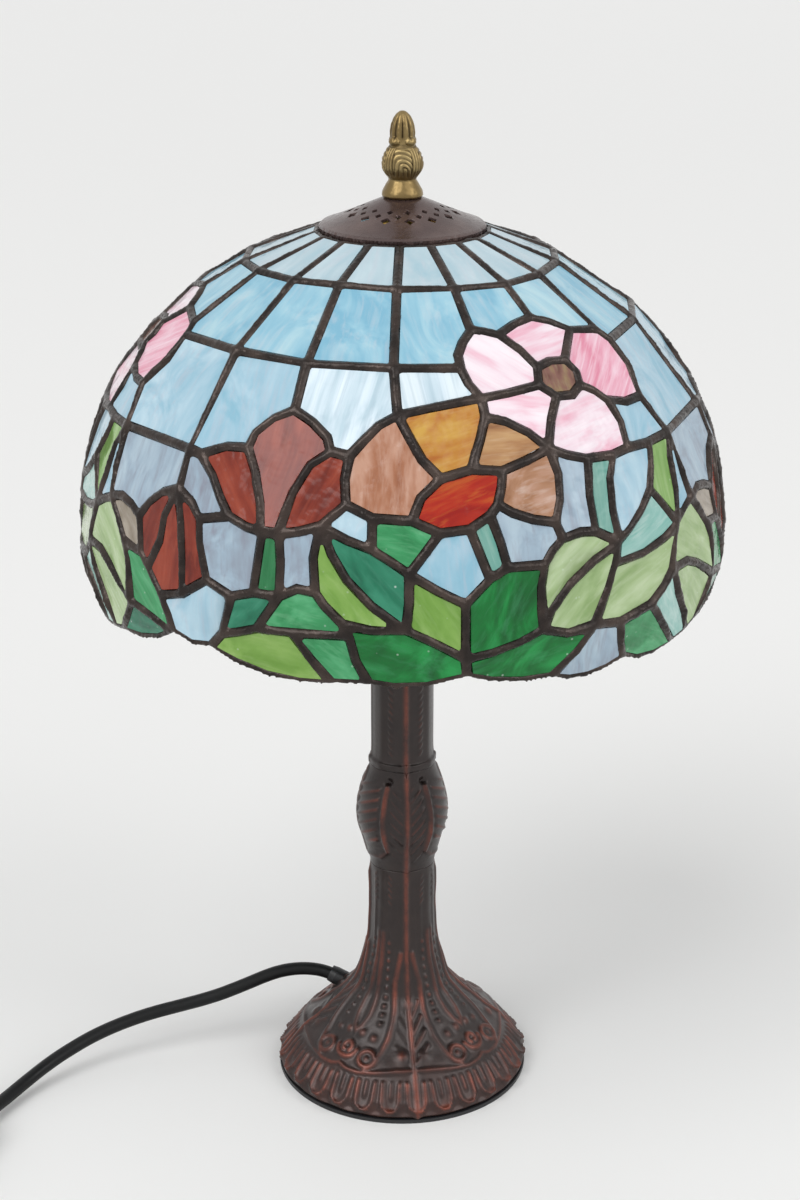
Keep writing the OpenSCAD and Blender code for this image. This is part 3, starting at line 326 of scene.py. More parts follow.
streaks.links.new(ripple.outputs["Fac"], s_out.inputs["Ripple"])


def stained(name, deep, body, pale, wisp, wisp_amount, seed_amount=0.0, across=12.0, along=60.0,
            swirl=14.0):
    """Streaky glass: three chart colours in bands, wisps of a fourth, and pin-hole seeds. across and
    along are a streak's width and length and swirl is how far it wanders, in mm."""
    material, tree, shader = new_material(name)
    marks = use(tree, streaks, Across=across, Along=along, Swirl=swirl)
    tone = add(tree, "ShaderNodeAttribute", attribute_name="tone").outputs["Fac"]
    level = add(tree, "ShaderNodeMath", operation="MULTIPLY_ADD", i0=tone, i1=0.5,
                i2=marks.outputs["Bands"], use_clamp=True)
    ramp = add(tree, "ShaderNodeValToRGB", Fac=level.outputs[0])
    ramp.color_ramp.elements[0].color = colour(*deep)
    ramp.color_ramp.elements[1].color = colour(*pale)
    ramp.color_ramp.elements.new(0.5).color = colour(*body)
    veil = add(tree, "ShaderNodeMath", operation="MULTIPLY", i0=marks.outputs["Wisps"], i1=wisp_amount)
    veiled = add(tree, "ShaderNodeMixRGB", i0=veil.outputs[0], i1=ramp.outputs["Color"],
                 i2=colour(*wisp))
    pin = add(tree, "ShaderNodeMath", operation="MULTIPLY", i0=marks.outputs["Seeds"], i1=seed_amount)
    dotted = add(tree, "ShaderNodeMixRGB", i0=pin.outputs[0], i1=veiled.outputs[0], i2=colour(235, 245, 240))
    rough = add(tree, "ShaderNodeMapRange", Value=marks.outputs["Ripple"], To_Min=0.06, To_Max=0.2)
    bump = add(tree, "ShaderNodeBump", Strength=0.5, Distance=0.0012, Height=marks.outputs["Ripple"])
    finish_surface(tree, shader, dotted.outputs[0], rough.outputs["Result"], bump)
    shader.inputs["IOR"].default_value = 1.5
    shader.inputs["Specular IOR Level"].default_value = 0.32
    return material


def bare_copy(name, node):
    """A copy of one of the frame's pieces, with no material yet."""
    piece = bpy.data.objects.new(name, cad[node].data.copy())
    bpy.context.collection.objects.link(piece)
    piece.data.materials.clear()
    return piece


def pane_of(start):
    """The faces of one pane, found from face to face across shared edges."""
    pane, edge_of_search = [], [start]
    start.tag = True
    while edge_of_search:
        face = edge_of_search.pop()
        pane.append(face)
        for edge in face.edges:
            for other in edge.link_faces:
                if not other.tag:
                    other.tag = True
                    edge_of_search.append(other)
    return pane


# Each pane's tone, lean and place on the sheet are drawn at random. The pattern starts 65 degrees
# left of the front and repeats every 120. A pane's outside faces away from the dome's middle.
pick = random.Random(7)
pane_tone = 0.35
same_pane = 8
dome_middle = 0.25
pattern_from = 65
pattern_span = 120


def glass_panes(name, node, glass, along="down", tones=()):
    """A dressed copy of one glass node. glass is the sheet its panes are cut from, or picks one by
    a pane's spot, which is its angle within the pattern and its height in mm. along is the way
    the streaks run, and tones makes the panes at some spots lighter (+) or deeper (-)."""
    piece = bare_copy(name, node)
    work = bmesh.new()
    work.from_mesh(piece.data)
    bmesh.ops.remove_doubles(work, verts=work.verts, dist=1e-6)
    bmesh.ops.dissolve_limit(work, angle_limit=radians(1), verts=work.verts, edges=work.edges)
    sheet = work.loops.layers.uv.new("sheet")
    tone_layer = work.verts.layers.float.new("tone")
    materials = []
    for face in work.faces:
        face.tag = False
    for start in work.faces:
        if start.tag:
            continue
        pane = pane_of(start)

        # The outside face gives the pane's own directions: down the dome, across it, and its grain
        corners = list({v for face in pane for v in face.verts})
        middle = sum((v.co for v in corners), Vector()) / len(corners)
        outward = Vector((middle.x, middle.y, middle.z - dome_middle))
        front = max(pane, key=lambda face: face.normal.dot(outward) * face.calc_area())
        out = front.normal.copy()
        down = (Vector((0, 0, -1)) - out * out.dot(Vector((0, 0, -1)))).normalized()
        side = down.cross(out)
        flat = np.array([[(v.co - middle).dot(side), (v.co - middle).dot(down)] for v in corners])
        if along == "length":
            way = np.linalg.eigh(flat.T @ flat)[1][:, 1]
        else:
            lean = pick.uniform(-0.2, 0.2)
            way = np.array([sin(lean), cos(lean)])
        grain = side * float(way[0]) + down * float(way[1])
        cross = grain.cross(out)

        # Its material, its tone and its place on the sheet
        shift = (pick.uniform(0, 3000), pick.uniform(0, 3000))
        azimuth = degrees(atan2(middle.x, -middle.y))
        height = middle.z * 1000
        spot = (azimuth + pattern_from) % pattern_span - pattern_from
        material = glass(spot, height) if callable(glass) else glass
        if material not in materials:
            materials.append(material)
        shade = pick.uniform(-pane_tone, pane_tone)
        for tone_spot, tone_height, tone in tones:
            if hypot(tone_spot - spot, tone_height - height) < same_pane:
                shade = tone
        for face in pane:
            face.material_index = materials.index(material)
            for loop in face.loops:
                gap = loop.vert.co - middle
                loop[sheet].uv = (gap.dot(cross) * 1000 + shift[0], gap.dot(grain) * 1000 + shift[1])
        for v in corners:
            v[tone_layer] = shade
    for material in materials:
        piece.data.materials.append(material)
    work.to_mesh(piece.data)
    work.free()
    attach(piece, "shade")
    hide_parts(node)


# ---------------------------------------------------------------- sky glass
# Three rows of pale blue sky under the cap and between the flowers, with lilac and white
# striped sheets among them.
sky = stained("sky glass", (126, 180, 204), (152, 197, 215), (180, 213, 223), (198, 206, 214), 0.5,
              across=11, along=75, swirl=10)
sky_soft = stained("soft sky glass", (140, 186, 206), (165, 199, 216), (187, 214, 227), (190, 190, 202),
                   0.5, across=12, along=60, swirl=12)
sky_grey = stained("grey sky glass", (160, 193, 206), (177, 201, 211), (192, 212, 220), (200, 203, 212),
                   0.5, across=12, along=60, swirl=7)
lilac = stained("lilac glass", (142, 152, 166), (157, 177, 193), (175, 195, 208), (134, 130, 144), 0.6,
                across=10, along=40, swirl=13)
striped = stained("white striped glass", (180, 204, 216), (212, 228, 238), (226, 238, 244),
                  (140, 168, 184), 0.5, across=7, along=150, swirl=4)
glass_panes("crown_row", "sky_glass_crown", sky_grey)
glass_panes("upper_sky", "sky_glass_upper", sky,
            tones=[(-12, 402, -0.6), (27, 403, -0.3)])
glass_panes("lower_sky", "sky_glass_lower", sky_soft,
            tones=[(8, 320, -0.5), (43, 340, 0.3)])
glass_panes("lilac_sky", "lilac_glass", lilac)
glass_panes("striped_sky", "white_glass", striped)

# ------------------------------------------------------------------ flowers
# The pink flower with its brown heart, the orange flower with one red petal, the red tulip,
# and the red bud with its beige sepal.
pink = stained("pink glass", (232, 176, 194), (239, 220, 229), (244, 234, 240), (231, 164, 184), 0.3,
               across=6, along=55, swirl=6)
rose = stained("rose glass", (222, 138, 162), (233, 176, 194), (240, 206, 218), (248, 230, 238), 0.8,
               across=5, along=60, swirl=5)
brown = stained("heart glass", (98, 60, 52), (130, 92, 82), (148, 126, 90), (166, 158, 120), 0.5,
                across=6, along=14, swirl=6)
peach = stained("peach glass", (138, 82, 56), (164, 110, 82), (192, 148, 126), (208, 176, 160), 0.5,
                across=8, along=26, swirl=11)
amber = stained("amber glass", (162, 80, 30), (184, 126, 54), (201, 158, 74), (212, 184, 128), 0.4,
                across=8, along=40, swirl=12)
tan = stained("tan glass", (130, 82, 44), (166, 119, 74), (189, 150, 102), (204, 176, 142), 0.45,
              across=7, along=34, swirl=10)
cinnamon = stained("cinnamon glass", (132, 82, 44), (164, 118, 86), (191, 152, 132), (210, 190, 180),
                   0.6, across=9, along=30, swirl=11)
flame = stained("flame glass", (148, 22, 12), (170, 40, 20), (190, 86, 32), (208, 136, 52), 0.5,
                across=7, along=40, swirl=10)
brick = stained("brick red glass", (100, 32, 22), (128, 48, 33), (150, 64, 44), (168, 84, 60), 0.35,
                across=7, along=50, swirl=7)
sepal = stained("sepal glass", (126, 114, 96), (150, 139, 125), (172, 162, 148), (190, 184, 174), 0.4,
                across=7, along=30)
orange_kinds = [(-3, 357, peach), (8, 369, amber), (19, 364, tan), (22, 346, cinnamon), (10, 344, flame)]


def orange_kind(spot, height):
    """The petals of the orange flower come from five sheets."""
    return min(orange_kinds, key=lambda kind: hypot(kind[0] - spot, kind[1] - height))[2]


glass_panes("pink_flower", "pink_petals",
            lambda spot, height: rose if spot > 44 else pink, "length")
glass_panes("flower_heart", "flower_hearts", brown)
glass_panes("orange_flower", "orange_petals", orange_kind, "length")
glass_panes("red_tulip", "tulip_petals", brick, "length")
glass_panes("red_bud", "bud_petals", brick, "length")
glass_panes("beige_sepal", "bud_sepals", sepal, "length")

# ----------------------------------------------------------- leaves, stems
# Leaves of seven greens along the scalloped rim, with the thin stems that join them to the flowers.
emerald = stained("emerald glass", (4, 84, 34), (8, 110, 46), (32, 146, 72), (82, 162, 118), 0.3, 0.35,
                  across=14, along=60, swirl=12)
green = stained("green glass", (38, 120, 70), (58, 146, 92), (92, 176, 124), (130, 194, 150), 0.4, 0.25,
                across=10, along=50, swirl=10)
teal = stained("teal glass", (20, 92, 68), (32, 114, 85), (54, 136, 106), (96, 164, 140), 0.35, 0.5,
               across=9, along=50, swirl=11)
lime = stained("lime glass", (100, 144, 54), (122, 163, 76), (142, 178, 96), (166, 194, 130), 0.35, 0.2,
               across=10, along=50, swirl=8)
pale_green = stained("pale green glass", (138, 166, 108), (163, 187, 136), (184, 204, 161),
                     (204, 216, 186), 0.5, 0.2, across=9, along=50, swirl=8)
blade = stained("blade glass", (112, 154, 78), (136, 173, 101), (154, 186, 123), (180, 204, 156), 0.4,
                0.2, across=6, along=50, swirl=6)
mint = stained("mint glass", (130, 184, 174), (153, 196, 188), (177, 211, 203), (216, 230, 226), 0.6,
               across=8, along=40, swirl=10)
stem = stained("stem glass", (92, 156, 144), (120, 169, 157), (144, 184, 172), (176, 206, 198), 0.4,
               across=5, along=50, swirl=5)
stem_green = stained("green stem glass", (22, 94, 54), (38, 112, 66), (58, 130, 84), (90, 160, 120),
                     0.3, 0.3, across=5, along=40, swirl=5)
glass_panes("green_stems", "flower_stems",
            lambda spot, height: stem_green if spot < 0 else stem, "length")
leaf_sheets = [("mint_pair", "mint_leaves", "mint_glass", mint),
               ("bright_blade", "bright_blades", "bright_green_glass", blade),
               ("pale_pair", "pale_leaves", "pale_green_glass", pale_green),
               ("lime_group", "lime_leaves", "lime_glass", lime),
               ("teal_group", "teal_leaves", "teal_glass", teal),
               ("emerald_group", "emerald_leaves", "emerald_glass", emerald),
               ("green_group", "green_leaves", "green_glass", green)]
for name, node, slot, leaf_sheet in leaf_sheets:
    glass_panes(name, node, leaf_sheet, "length")

# ------------------------------------------------------------------- solder
# Tin-lead solder run along every foil seam by hand, 4 to 5 mm wide and rounded, with lumps where
# the iron stopped, then blackened with patina so that only the crests still shine.
patina, p_in, p_out = new_group(
    "dark patina", [("Lumps", "Float", 220.0)],
    [("Crest", "Float"), ("Roughness", "Float"), ("Height", "Float")])
place = add(patina, "ShaderNodeTexCoord").outputs["Object"]
lumps = add(patina, "ShaderNodeTexNoise", Vector=place, Scale=p_in.outputs["Lumps"], Detail=4.0)
stain = add(patina, "ShaderNodeTexNoise", Vector=place, Scale=70.0, Detail=4.0)
crest = add(patina, "ShaderNodeMapRange", Value=stain.outputs["Fac"], From_Min=0.4, From_Max=0.72)
rough = add(patina, "ShaderNodeMapRange", Value=lumps.outputs["Fac"],
            From_Min=0.3, From_Max=0.7, To_Min=0.16, To_Max=0.4)
patina.links.new(crest.outputs["Result"], p_out.inputs["Crest"])
patina.links.new(rough.outputs["Result"], p_out.inputs["Roughness"])
patina.links.new(lumps.outputs["Fac"], p_out.inputs["Height"])

solder_metal, tree, shader = new_material("patinated solder")
marks = use(tree, patina, Lumps=260.0)
tone = add(tree, "ShaderNodeMixRGB", i0=marks.outputs["Crest"], i1=colour(34, 27, 24), i2=colour(72, 60, 54))
bump = add(tree, "ShaderNodeBump", Strength=0.6, Distance=0.0008, Height=marks.outputs["Height"])
finish_surface(tree, shader, tone.outputs[0], marks.outputs["Roughness"], bump)
shader.inputs["Metallic"].default_value = 0.55


def weld(piece):
    """Joins the loose corners of a copied piece and leaves it selected."""
    take_up(piece)
    bpy.ops.object.mode_set(mode="EDIT")
    bpy.ops.mesh.select_all(action="SELECT")
    bpy.ops.mesh.remove_doubles(threshold=1e-6)
    bpy.ops.object.mode_set(mode="OBJECT")


# The whole lattice is voxel remeshed, relaxed and swollen by noise, so its beads are round and lumpy
beads = bare_copy("solder_0", "solder_lattice")
weld(beads)
remesh = beads.modifiers.new("beads", "REMESH")
remesh.mode = "VOXEL"
remesh.voxel_size = 0.0009
bpy.ops.object.modifier_apply(modifier="beads")
relax = beads.modifiers.new("relax", "SMOOTH")
relax.factor = 0.5
relax.iterations = 4
bpy.ops.object.modifier_apply(modifier="relax")
count = len(beads.data.vertices)
co = np.empty(count * 3)
no = np.empty(count * 3)
beads.data.vertices.foreach_get("co", co)
beads.data.vertex_normals.foreach_get("vector", no)
co, no = co.reshape(-1, 3), no.reshape(-1, 3)
even_swell, lump_swell = 0.0002075, 0.00035
swell = np.array([0.9 * noise.noise(Vector(p) * 150) + 0.5 * noise.noise(Vector(p) * 420) for p in co])
co += no * (even_swell + lump_swell * swell)[:, None]
beads.data.vertices.foreach_set("co", co.ravel())
beads.data.update()
beads.data.shade_smooth()
beads.data.materials.append(solder_metal)

# Each third of the lattice is a piece of its own, cut where the pattern starts again
third_from = 64
thirds = [beads]
for number in (1, 2):
    third = bpy.data.objects.new(f"solder_{number}", beads.data.copy())
    bpy.context.collection.objects.link(third)
    thirds.append(third)
for number, third in enumerate(thirds):
    work = bmesh.new()
    work.from_mesh(third.data)
    gone = []
    for face in work.faces:
        middle = face.calc_center_median()
        if (degrees(atan2(middle.x, -middle.y)) + third_from) % 360 // pattern_span != number:
            gone.append(face)
    bmesh.ops.delete(work, geom=gone, context="FACES")
    work.to_mesh(third.data)
    work.free()
    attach(third, "shade")
    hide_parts("solder_lattice")

# -------------------------------------------------------------------- brass
# The plain parts inside the lamp: brass harp and socket, zinc plated pipe, nut and bottom plate,
# the iron ballast, the socket's liner and body, the wires, the bulb, and the pad under the foot.


def metal(name, body, crest, roughness, metallic=1.0):
    """Metal that turns from its body colour to its crest colour in patches of tarnish. roughness
    scales how rough the patina makes it."""
    material, tree, shader = new_material(name)
    marks = use(tree, patina, Lumps=500.0)
    tone = add(tree, "ShaderNodeMixRGB", i0=marks.outputs["Crest"], i1=body, i2=crest)
    level = add(tree, "ShaderNodeMath", operation="MULTIPLY", i0=marks.outputs["Roughness"], i1=roughness)
    bump = add(tree, "ShaderNodeBump", Strength=0.2, Distance=0.0003, Height=marks.outputs["Height"])
    finish_surface(tree, shader, tone.outputs[0], level.outputs[0], bump)
    shader.inputs["Metallic"].default_value = metallic
    return material


brass = metal("brass", colour(176, 140, 74), colour(204, 172, 104), 0.9)
steel = metal("zinc steel", colour(150, 150, 148), colour(186, 186, 184), 1.1)
iron = metal("cast iron", colour(58, 56, 54), colour(84, 80, 78), 1.8)
for node in ("crown_ring", "harp_wire", "harp_seat", "harp_saddle", "harp_sleeve_left", "harp_sleeve_right",
             "socket_cap", "socket_shell", "screw_shell", "centre_contact", "plug_pins"):
    wear(node, brass)
for node in ("terminal_screws", "bulb_cap", "bulb_contact", "threaded_pipe", "pipe_nut", "lock_washer",
             "bottom_plate"):
    wear(node, steel)
wear("ballast", iron)
wear("socket_liner", moulded("liner card", colour(150, 120, 84), 500.0, 0.0002))
wear("socket_body", moulded("socket ceramic", colour(36, 34, 34), 700.0, 0.0002))
wear("bulb_insulator", moulded("black glass", colour(20, 20, 22), 700.0, 0.0001))
wear("foot_pad", moulded("pad rubber", colour(26, 26, 28), 500.0, 0.0004))
wear("lamp_wires", moulded("wire jacket", colour(215, 205, 180), 900.0, 0.0001))
wear("bulb_stem", moulded("stem glass white", colour(225, 228, 228), 900.0, 0.0001))
wear("bulb_filament", moulded("filament", colour(230, 170, 60), 900.0, 0.0001))
bulb_white, tree, shader = new_material("bulb glass")
film = add(tree, "ShaderNodeTexNoise", Scale=120.0, Detail=2.0)
film_tone = add(tree, "ShaderNodeMixRGB", i0=film.outputs["Fac"],
                i1=colour(238, 238, 232), i2=colour(246, 246, 242))
tree.links.new(film_tone.outputs[0], shader.inputs["Base Color"])
shader.inputs["Roughness"].default_value = 0.12
wear("bulb_glass", bulb_white)

# ------------------------------------------------------------- bronze stand
# Foot, knop and column are spelter castings plated dark bronze. Their ornament is cast in low
# relief, and its raised lines are rubbed back to red copper.
rubbed, r_in, r_out = new_group(
    "rubbed bronze", [("Rub", "Float", 0.0)],
    [("Color", "Color"), ("Roughness", "Float"), ("Height", "Float")])
place = add(rubbed, "ShaderNodeTexCoord").outputs["Object"]
grain = add(rubbed, "ShaderNodeTexNoise", Vector=place, Scale=700.0, Detail=5.0)
cloud = add(rubbed, "ShaderNodeTexNoise", Vector=place, Scale=90.0, Detail=5.0, Roughness=0.6)
uneven = add(rubbed, "ShaderNodeMapRange", Value=cloud.outputs["Fac"],
             From_Min=0.34, From_Max=0.66, To_Min=0.15, To_Max=1.05)
shown = add(rubbed, "ShaderNodeMath", operation="MULTIPLY", use_clamp=True,
            i0=r_in.outputs["Rub"], i1=uneven.outputs["Result"])
dark = add(rubbed, "ShaderNodeMixRGB", i0=cloud.outputs["Fac"],
           i1=colour(30, 24, 24), i2=colour(54, 43, 40))
copper = add(rubbed, "ShaderNodeMixRGB", i0=grain.outputs["Fac"],
             i1=colour(104, 44, 30), i2=colour(146, 76, 56))
skin = add(rubbed, "ShaderNodeMixRGB", i0=shown.outputs[0], i1=dark.outputs[0], i2=copper.outputs[0])
rough = add(rubbed, "ShaderNodeMapRange", Value=grain.outputs["Fac"], To_Min=0.26, To_Max=0.48)
rubbed.links.new(skin.outputs[0], r_out.inputs["Color"])
rubbed.links.new(rough.outputs["Result"], r_out.inputs["Roughness"])
rubbed.links.new(grain.outputs["Fac"], r_out.inputs["Height"])


# Copper shows where each casting's rub attribute says
bronze, tree, shader = new_material("rubbed bronze")
rub = add(tree, "ShaderNodeAttribute", attribute_name="rub").outputs["Fac"]
marks = use(tree, rubbed, Rub=rub)
bump = add(tree, "ShaderNodeBump", Strength=0.25, Distance=0.0003, Height=marks.outputs["Height"])
finish_surface(tree, shader, marks.outputs["Color"], marks.outputs["Roughness"], bump)
shader.inputs["Metallic"].default_value = 0.45
shader.inputs["Coat Weight"].default_value = 0.15
shader.inputs["Coat Roughness"].default_value = 0.2


def stroke(across, up, points, height, width):
    """How high a raised line stands at each place: a rounded bead along the points, which give its
    angle in degrees and its distance up the piece in mm."""
    best = np.full(across.shape, 1e9)
    for (a0, s0), (a1, s1) in zip(points, points[1:]):
        x0, x1 = np.radians(a0) * stroke.radius, np.radians(a1) * stroke.radius
        dx, dy = x1 - x0, s1 - s0
        t = np.clip(((across - x0) * dx + (up - s0) * dy) / (dx * dx + dy * dy + 1e-9), 0, 1)
        best = np.minimum(best, np.hypot(across - x0 - t * dx, up - s0 - t * dy))
    return height * np.exp(-(best / width) ** 2)


def ball(across, up, a, s, height, width):
    """A raised bead at an angle and a distance up the piece."""
    return height * np.exp(-((across - np.radians(a) * stroke.radius) ** 2 + (up - s) ** 2) / width ** 2)


def turned(name, outside, inside, around, step):
    """A piece of revolution from its outside line and inside line in mm, fine enough for relief.
    Gives the piece, and for each vertex its place, its angle in degrees, its distance up the
    outside line, the line's normal there, whether it lies on the outside, and its radius."""
    rounded = smooth_line([(r, 0, z) for r, z in outside], 6)
    run = np.concatenate([[0], np.cumsum([(b - a).length for a, b in zip(rounded, rounded[1:])])])
    ups = np.linspace(0, run[-1], int(run[-1] / step) + 1)
    line = np.stack([np.interp(ups, run, [p.x for p in rounded]),
                     np.interp(ups, run, [p.z for p in rounded])], 1)
    mesh = bpy.data.meshes.new(name)
    points = [(r / 1000, 0, z / 1000) for r, z in line.tolist() + inside]
    edges = [(i, (i + 1) % len(points)) for i in range(len(points))]
    if line[-1, 0] < 0.01:
        edges.pop(len(line) - 1)  # both of its ends lie on the axis
    mesh.from_pydata(points, edges, [])
    piece = bpy.data.objects.new(name, mesh)
    bpy.context.collection.objects.link(piece)
    take_up(piece)
    bpy.ops.object.mode_set(mode="EDIT")
    bpy.ops.mesh.select_all(action="SELECT")
    bpy.ops.mesh.spin(steps=around, angle=2 * pi, center=(0, 0, 0), axis=(0, 0, 1))
    bpy.ops.mesh.select_all(action="SELECT")
    bpy.ops.mesh.remove_doubles(threshold=1e-6)
    bpy.ops.mesh.normals_make_consistent(inside=False)
    bpy.ops.object.mode_set(mode="OBJECT")
    co = np.empty(len(mesh.vertices) * 3)
    mesh.vertices.foreach_get("co", co)
    co = co.reshape(-1, 3) * 1000
    radius, height = np.hypot(co[:, 0], co[:, 1]), co[:, 2]
    near = np.empty(len(co), int)
    batch = 20000
    for start in range(0, len(co), batch):
        part = slice(start, start + batch)
        near[part] = np.argmin((radius[part, None] - line[None, :, 0]) ** 2
                               + (height[part, None] - line[None, :, 1]) ** 2, axis=1)
    off = np.hypot(radius - line[near, 0], height - line[near, 1])
    way = np.gradient(line, axis=0)
    normal = np.stack([way[:, 1], -way[:, 0]], 1)
    normal /= np.linalg.norm(normal, axis=1)[:, None]
    angle = np.degrees(np.arctan2(co[:, 0], -co[:, 1]))
    return piece, co, angle, ups[near], normal[near], off < 0.02, radius


def raise_relief(piece, co, angle, normal, outer, height, rub):
    """Moves the outside's vertices out by the relief and keeps where it is rubbed."""
    lift = np.where(outer, height, 0)
    co[:, 0] += np.sin(np.radians(angle)) * normal[:, 0] * lift
    co[:, 1] -= np.cos(np.radians(angle)) * normal[:, 0] * lift
    co[:, 2] += normal[:, 1] * lift
    piece.data.vertices.foreach_set("co", (co / 1000).ravel())
    layer = piece.data.attributes.new("rub", "FLOAT", "POINT")
    layer.data.foreach_set("value", np.where(outer, rub, 0).astype(np.float32))
    piece.data.update()
    piece.data.shade_smooth()


def cast(piece, node):
    """Plates a casting in rubbed bronze and fixes it to the stand."""
    piece.data.materials.append(bronze)
    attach(piece, "stand")
    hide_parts(node)


# Each casting turns its ribs a little to the right of the front
rib_angle = 7
rib_half = 1.1
rib_rub = 0.75
foot_top = 112
foot_outside = [(62.4, 2), (62.9, 4), (60.4, 7), (57.8, 10), (54.8, 14), (51.6, 18), (48, 22), (42.8, 26),
                (38.4, 30), (34.5, 34), (30.4, 38), (26.6, 42), (23.5, 46), (21.7, 50), (20.2, 55),
                (18.8, 60), (17.3, 66), (16.2, 74), (15.7, 84), (15.5, 97), (15.7, foot_top)]
foot_inside = [(5.3, foot_top), (5.3, 44), (16.5, 44), (24.7, 39.5), (32.4, 31.7), (40.7, 23.7), (49.6, 15.6),
               (56.5, 7.5), (60, 4), (60, 2)]
foot, co, angle, up, normal, outer, radius = turned("foot_casting", foot_outside, foot_inside, 420, 0.68)
up = up - 2.5

# The ornament repeats four times round the foot, mirrored at each rib, so it is laid out by the
# angle from the nearest rib
turn = (angle - rib_angle) % 90
right = turn <= 45
fold = np.minimum(turn, 90 - turn)
stroke.radius = radius
across = np.radians(fold) * radius
level = co[:, 2]
veins = (25, 32.5, 40, 47.5)
leaf_edge = [(9, 80), (14, 71), (17, 65), (16.5, 60), (15, 52), (15.5, 46), (17.5, 38), (21, 30), (25, 23.5),
             (29, 20.5)]
outer_edge = [(41, 90), (40, 75), (39.5, 62), (38, 54), (38.5, 47), (41.5, 41), (47, 37)]
curl = [(29.5 + degrees(4 * cos(radians(t)) / 46), 26 + 4 * sin(radians(t))) for t in range(165, -131, -15)]
eye = [(45 + degrees(r * cos(radians(t)) / 44), 29 + r * sin(radians(t)))
       for t, r in zip(range(-180, 240, 20), np.linspace(5.4, 2, 21))]
ground = [(0, 21.8), (10, 21.4), (20, 20.2), (33, 18.6), (40, 19), (45, 20.6)]
raised = [stroke(across, up, [(0, 20), (0, 52), (0, 56), (0, 126)], 1.25, 1.35),
          stroke(across, up, leaf_edge, 1.15, 1.6),
          stroke(across, up, outer_edge, 0.9, 1.7),
          stroke(across, up, [(26, 118), (27, 90), (27.5, 82)], 0.35, 1.2),
          stroke(across, up, curl, 1.25, 1.35),
          stroke(across, up, eye, 1.2, 1.4),
          stroke(across, up, ground, 1.0, 1.15),
          ball(across, up, 0, 54.5, 0.9, 3),
          ball(across, up, 7, 29, 1.1, 3),
          ball(across, up, 29.5, 26, 0.8, 2),
          ball(across, up, 29, 36.5, 1.0, 2.2),
          ball(across, up, 39, 38, 1.1, 2.4)]
for place_up in veins:
    vein = stroke(across, up, [(1.5, place_up), (6, place_up + 4), (11.5, place_up + 8.5)], 0.9, 1.3)
    raised.append(np.where(right, vein, 0.25 * vein))
for k in range(10):
    raised.append(ball(across, up, 26.5 + 0.3 * k, 44 + 4.6 * k, 0.85, 1.35))
for z in np.arange(94, 110, 3.4):
    raised.append(stroke(across, level, [(26.5, z), (31, z + 1.5)], 0.55, 0.9))
relief = np.max(raised, axis=0)

# A skirt of tongues, each outlined and with a bar down its middle, with notches in the rim between
tongues = 28
pitch = 360 / tongues
tongue_x = np.radians((angle - rib_angle + pitch / 2) % pitch - pitch / 2) * radius
tongue_end = 5.4
half = 4.2
outline = np.where(up > tongue_end, np.abs(np.abs(tongue_x) - half),
                   np.abs(np.hypot(tongue_x, up - tongue_end) - half))
in_ring = np.clip((17.5 - up) / 2.5, 0, 1)
rim_line = 1.15 * np.exp(-(outline / 1.25) ** 2) * in_ring
bar = 0.85 * np.exp(-(tongue_x / 1) ** 2) * in_ring * np.clip((up - 6.5) / 2.5, 0, 1)
main_bar = 1.1 * np.exp(-(across / 1.7) ** 2) * (up < 20)
inside_tongue = np.where(up > tongue_end, np.abs(tongue_x) < half, np.hypot(tongue_x, up - tongue_end) < half)
notch = np.where(~inside_tongue & (up < 6), -np.clip((6 - up) / 4, 0, 1) * 1.4, 0)
skirt = np.maximum(np.maximum(rim_line, bar), main_bar)
relief = np.maximum(relief, skirt) + notch

# The casting is uneven, and the copper shows on the crests, the ribs and the ends of the tongues
swells = 0.35 * np.exp(-((fold - 45) / 9) ** 2) * np.clip((level - 45) / 15, 0, 1)
waves = np.array([0.4 * noise.noise(Vector(p) * 0.09) for p in co])
bared = np.array([0.55 + 0.75 * noise.noise(Vector(p) * 0.055 + Vector((3, 1, 8))) for p in co])
rub = np.clip((relief - 0.35) / 0.75, 0, 1) * np.clip(bared + 0.25 * (up < 20), 0.2, 1)
rub = np.maximum(rub, np.clip((5.2 - up) / 3, 0, 1) * inside_tongue * 0.8)
rub = np.maximum(rub, 0.16 * np.clip((30 - level) / 25, 0, 1))
rub = np.maximum(rub, rib_rub * np.exp(-(across / rib_half) ** 2))
calm = np.clip((foot_top - level) / 6, 0, 1)
raise_relief(foot, co, angle, normal, outer, (relief + waves + swells) * calm, rub)
cast(foot, "foot")

# -------------------------------------------------------------------- knop
# The knop is cast as four upright leaves, with barbs that rise from their middle ribs.
knop_r = 22
knop_low, knop_high = 112.05, 165
knop_shares = [(0.713, 0), (0.74, 0.06), (0.81, 0.17), (0.875, 0.27), (0.955, 0.38), (0.985, 0.48),
               (0.97, 0.6), (0.91, 0.72), (0.835, 0.83), (0.745, 0.94), (0.71, 1)]
knop_line = [(knop_r * r, knop_low + (knop_high - knop_low) * h) for r, h in knop_shares]
knop, co, angle, up, normal, outer, radius = turned(
    "knop_casting", knop_line, [(5.3, knop_high), (5.3, knop_low)], 260, 0.55)
turn = (angle - rib_angle) % 180
right = turn <= 90
fold = np.minimum(turn, 180 - turn)
stroke.radius = radius
across = np.radians(fold) * radius
level = co[:, 2]
front_half = np.interp(level, [112, 116, 122, 130, 140, 157, 160], [2, 12, 24, 31, 32, 31, 26])
front_leaf = fold < front_half
barb_front = (level - 1.05 * across) % 5.6
barb_side = (level - 0.5 * np.radians(np.abs(90 - fold)) * radius) % 5.2
barbs = np.where(front_leaf, np.exp(-((barb_front - 2.8) / 1.15) ** 2),
                 np.exp(-((barb_side - 2.6) / 1.2) ** 2))
fade = np.clip((level - 116) / 6, 0, 1) * np.clip((160 - level) / 5, 0, 1)
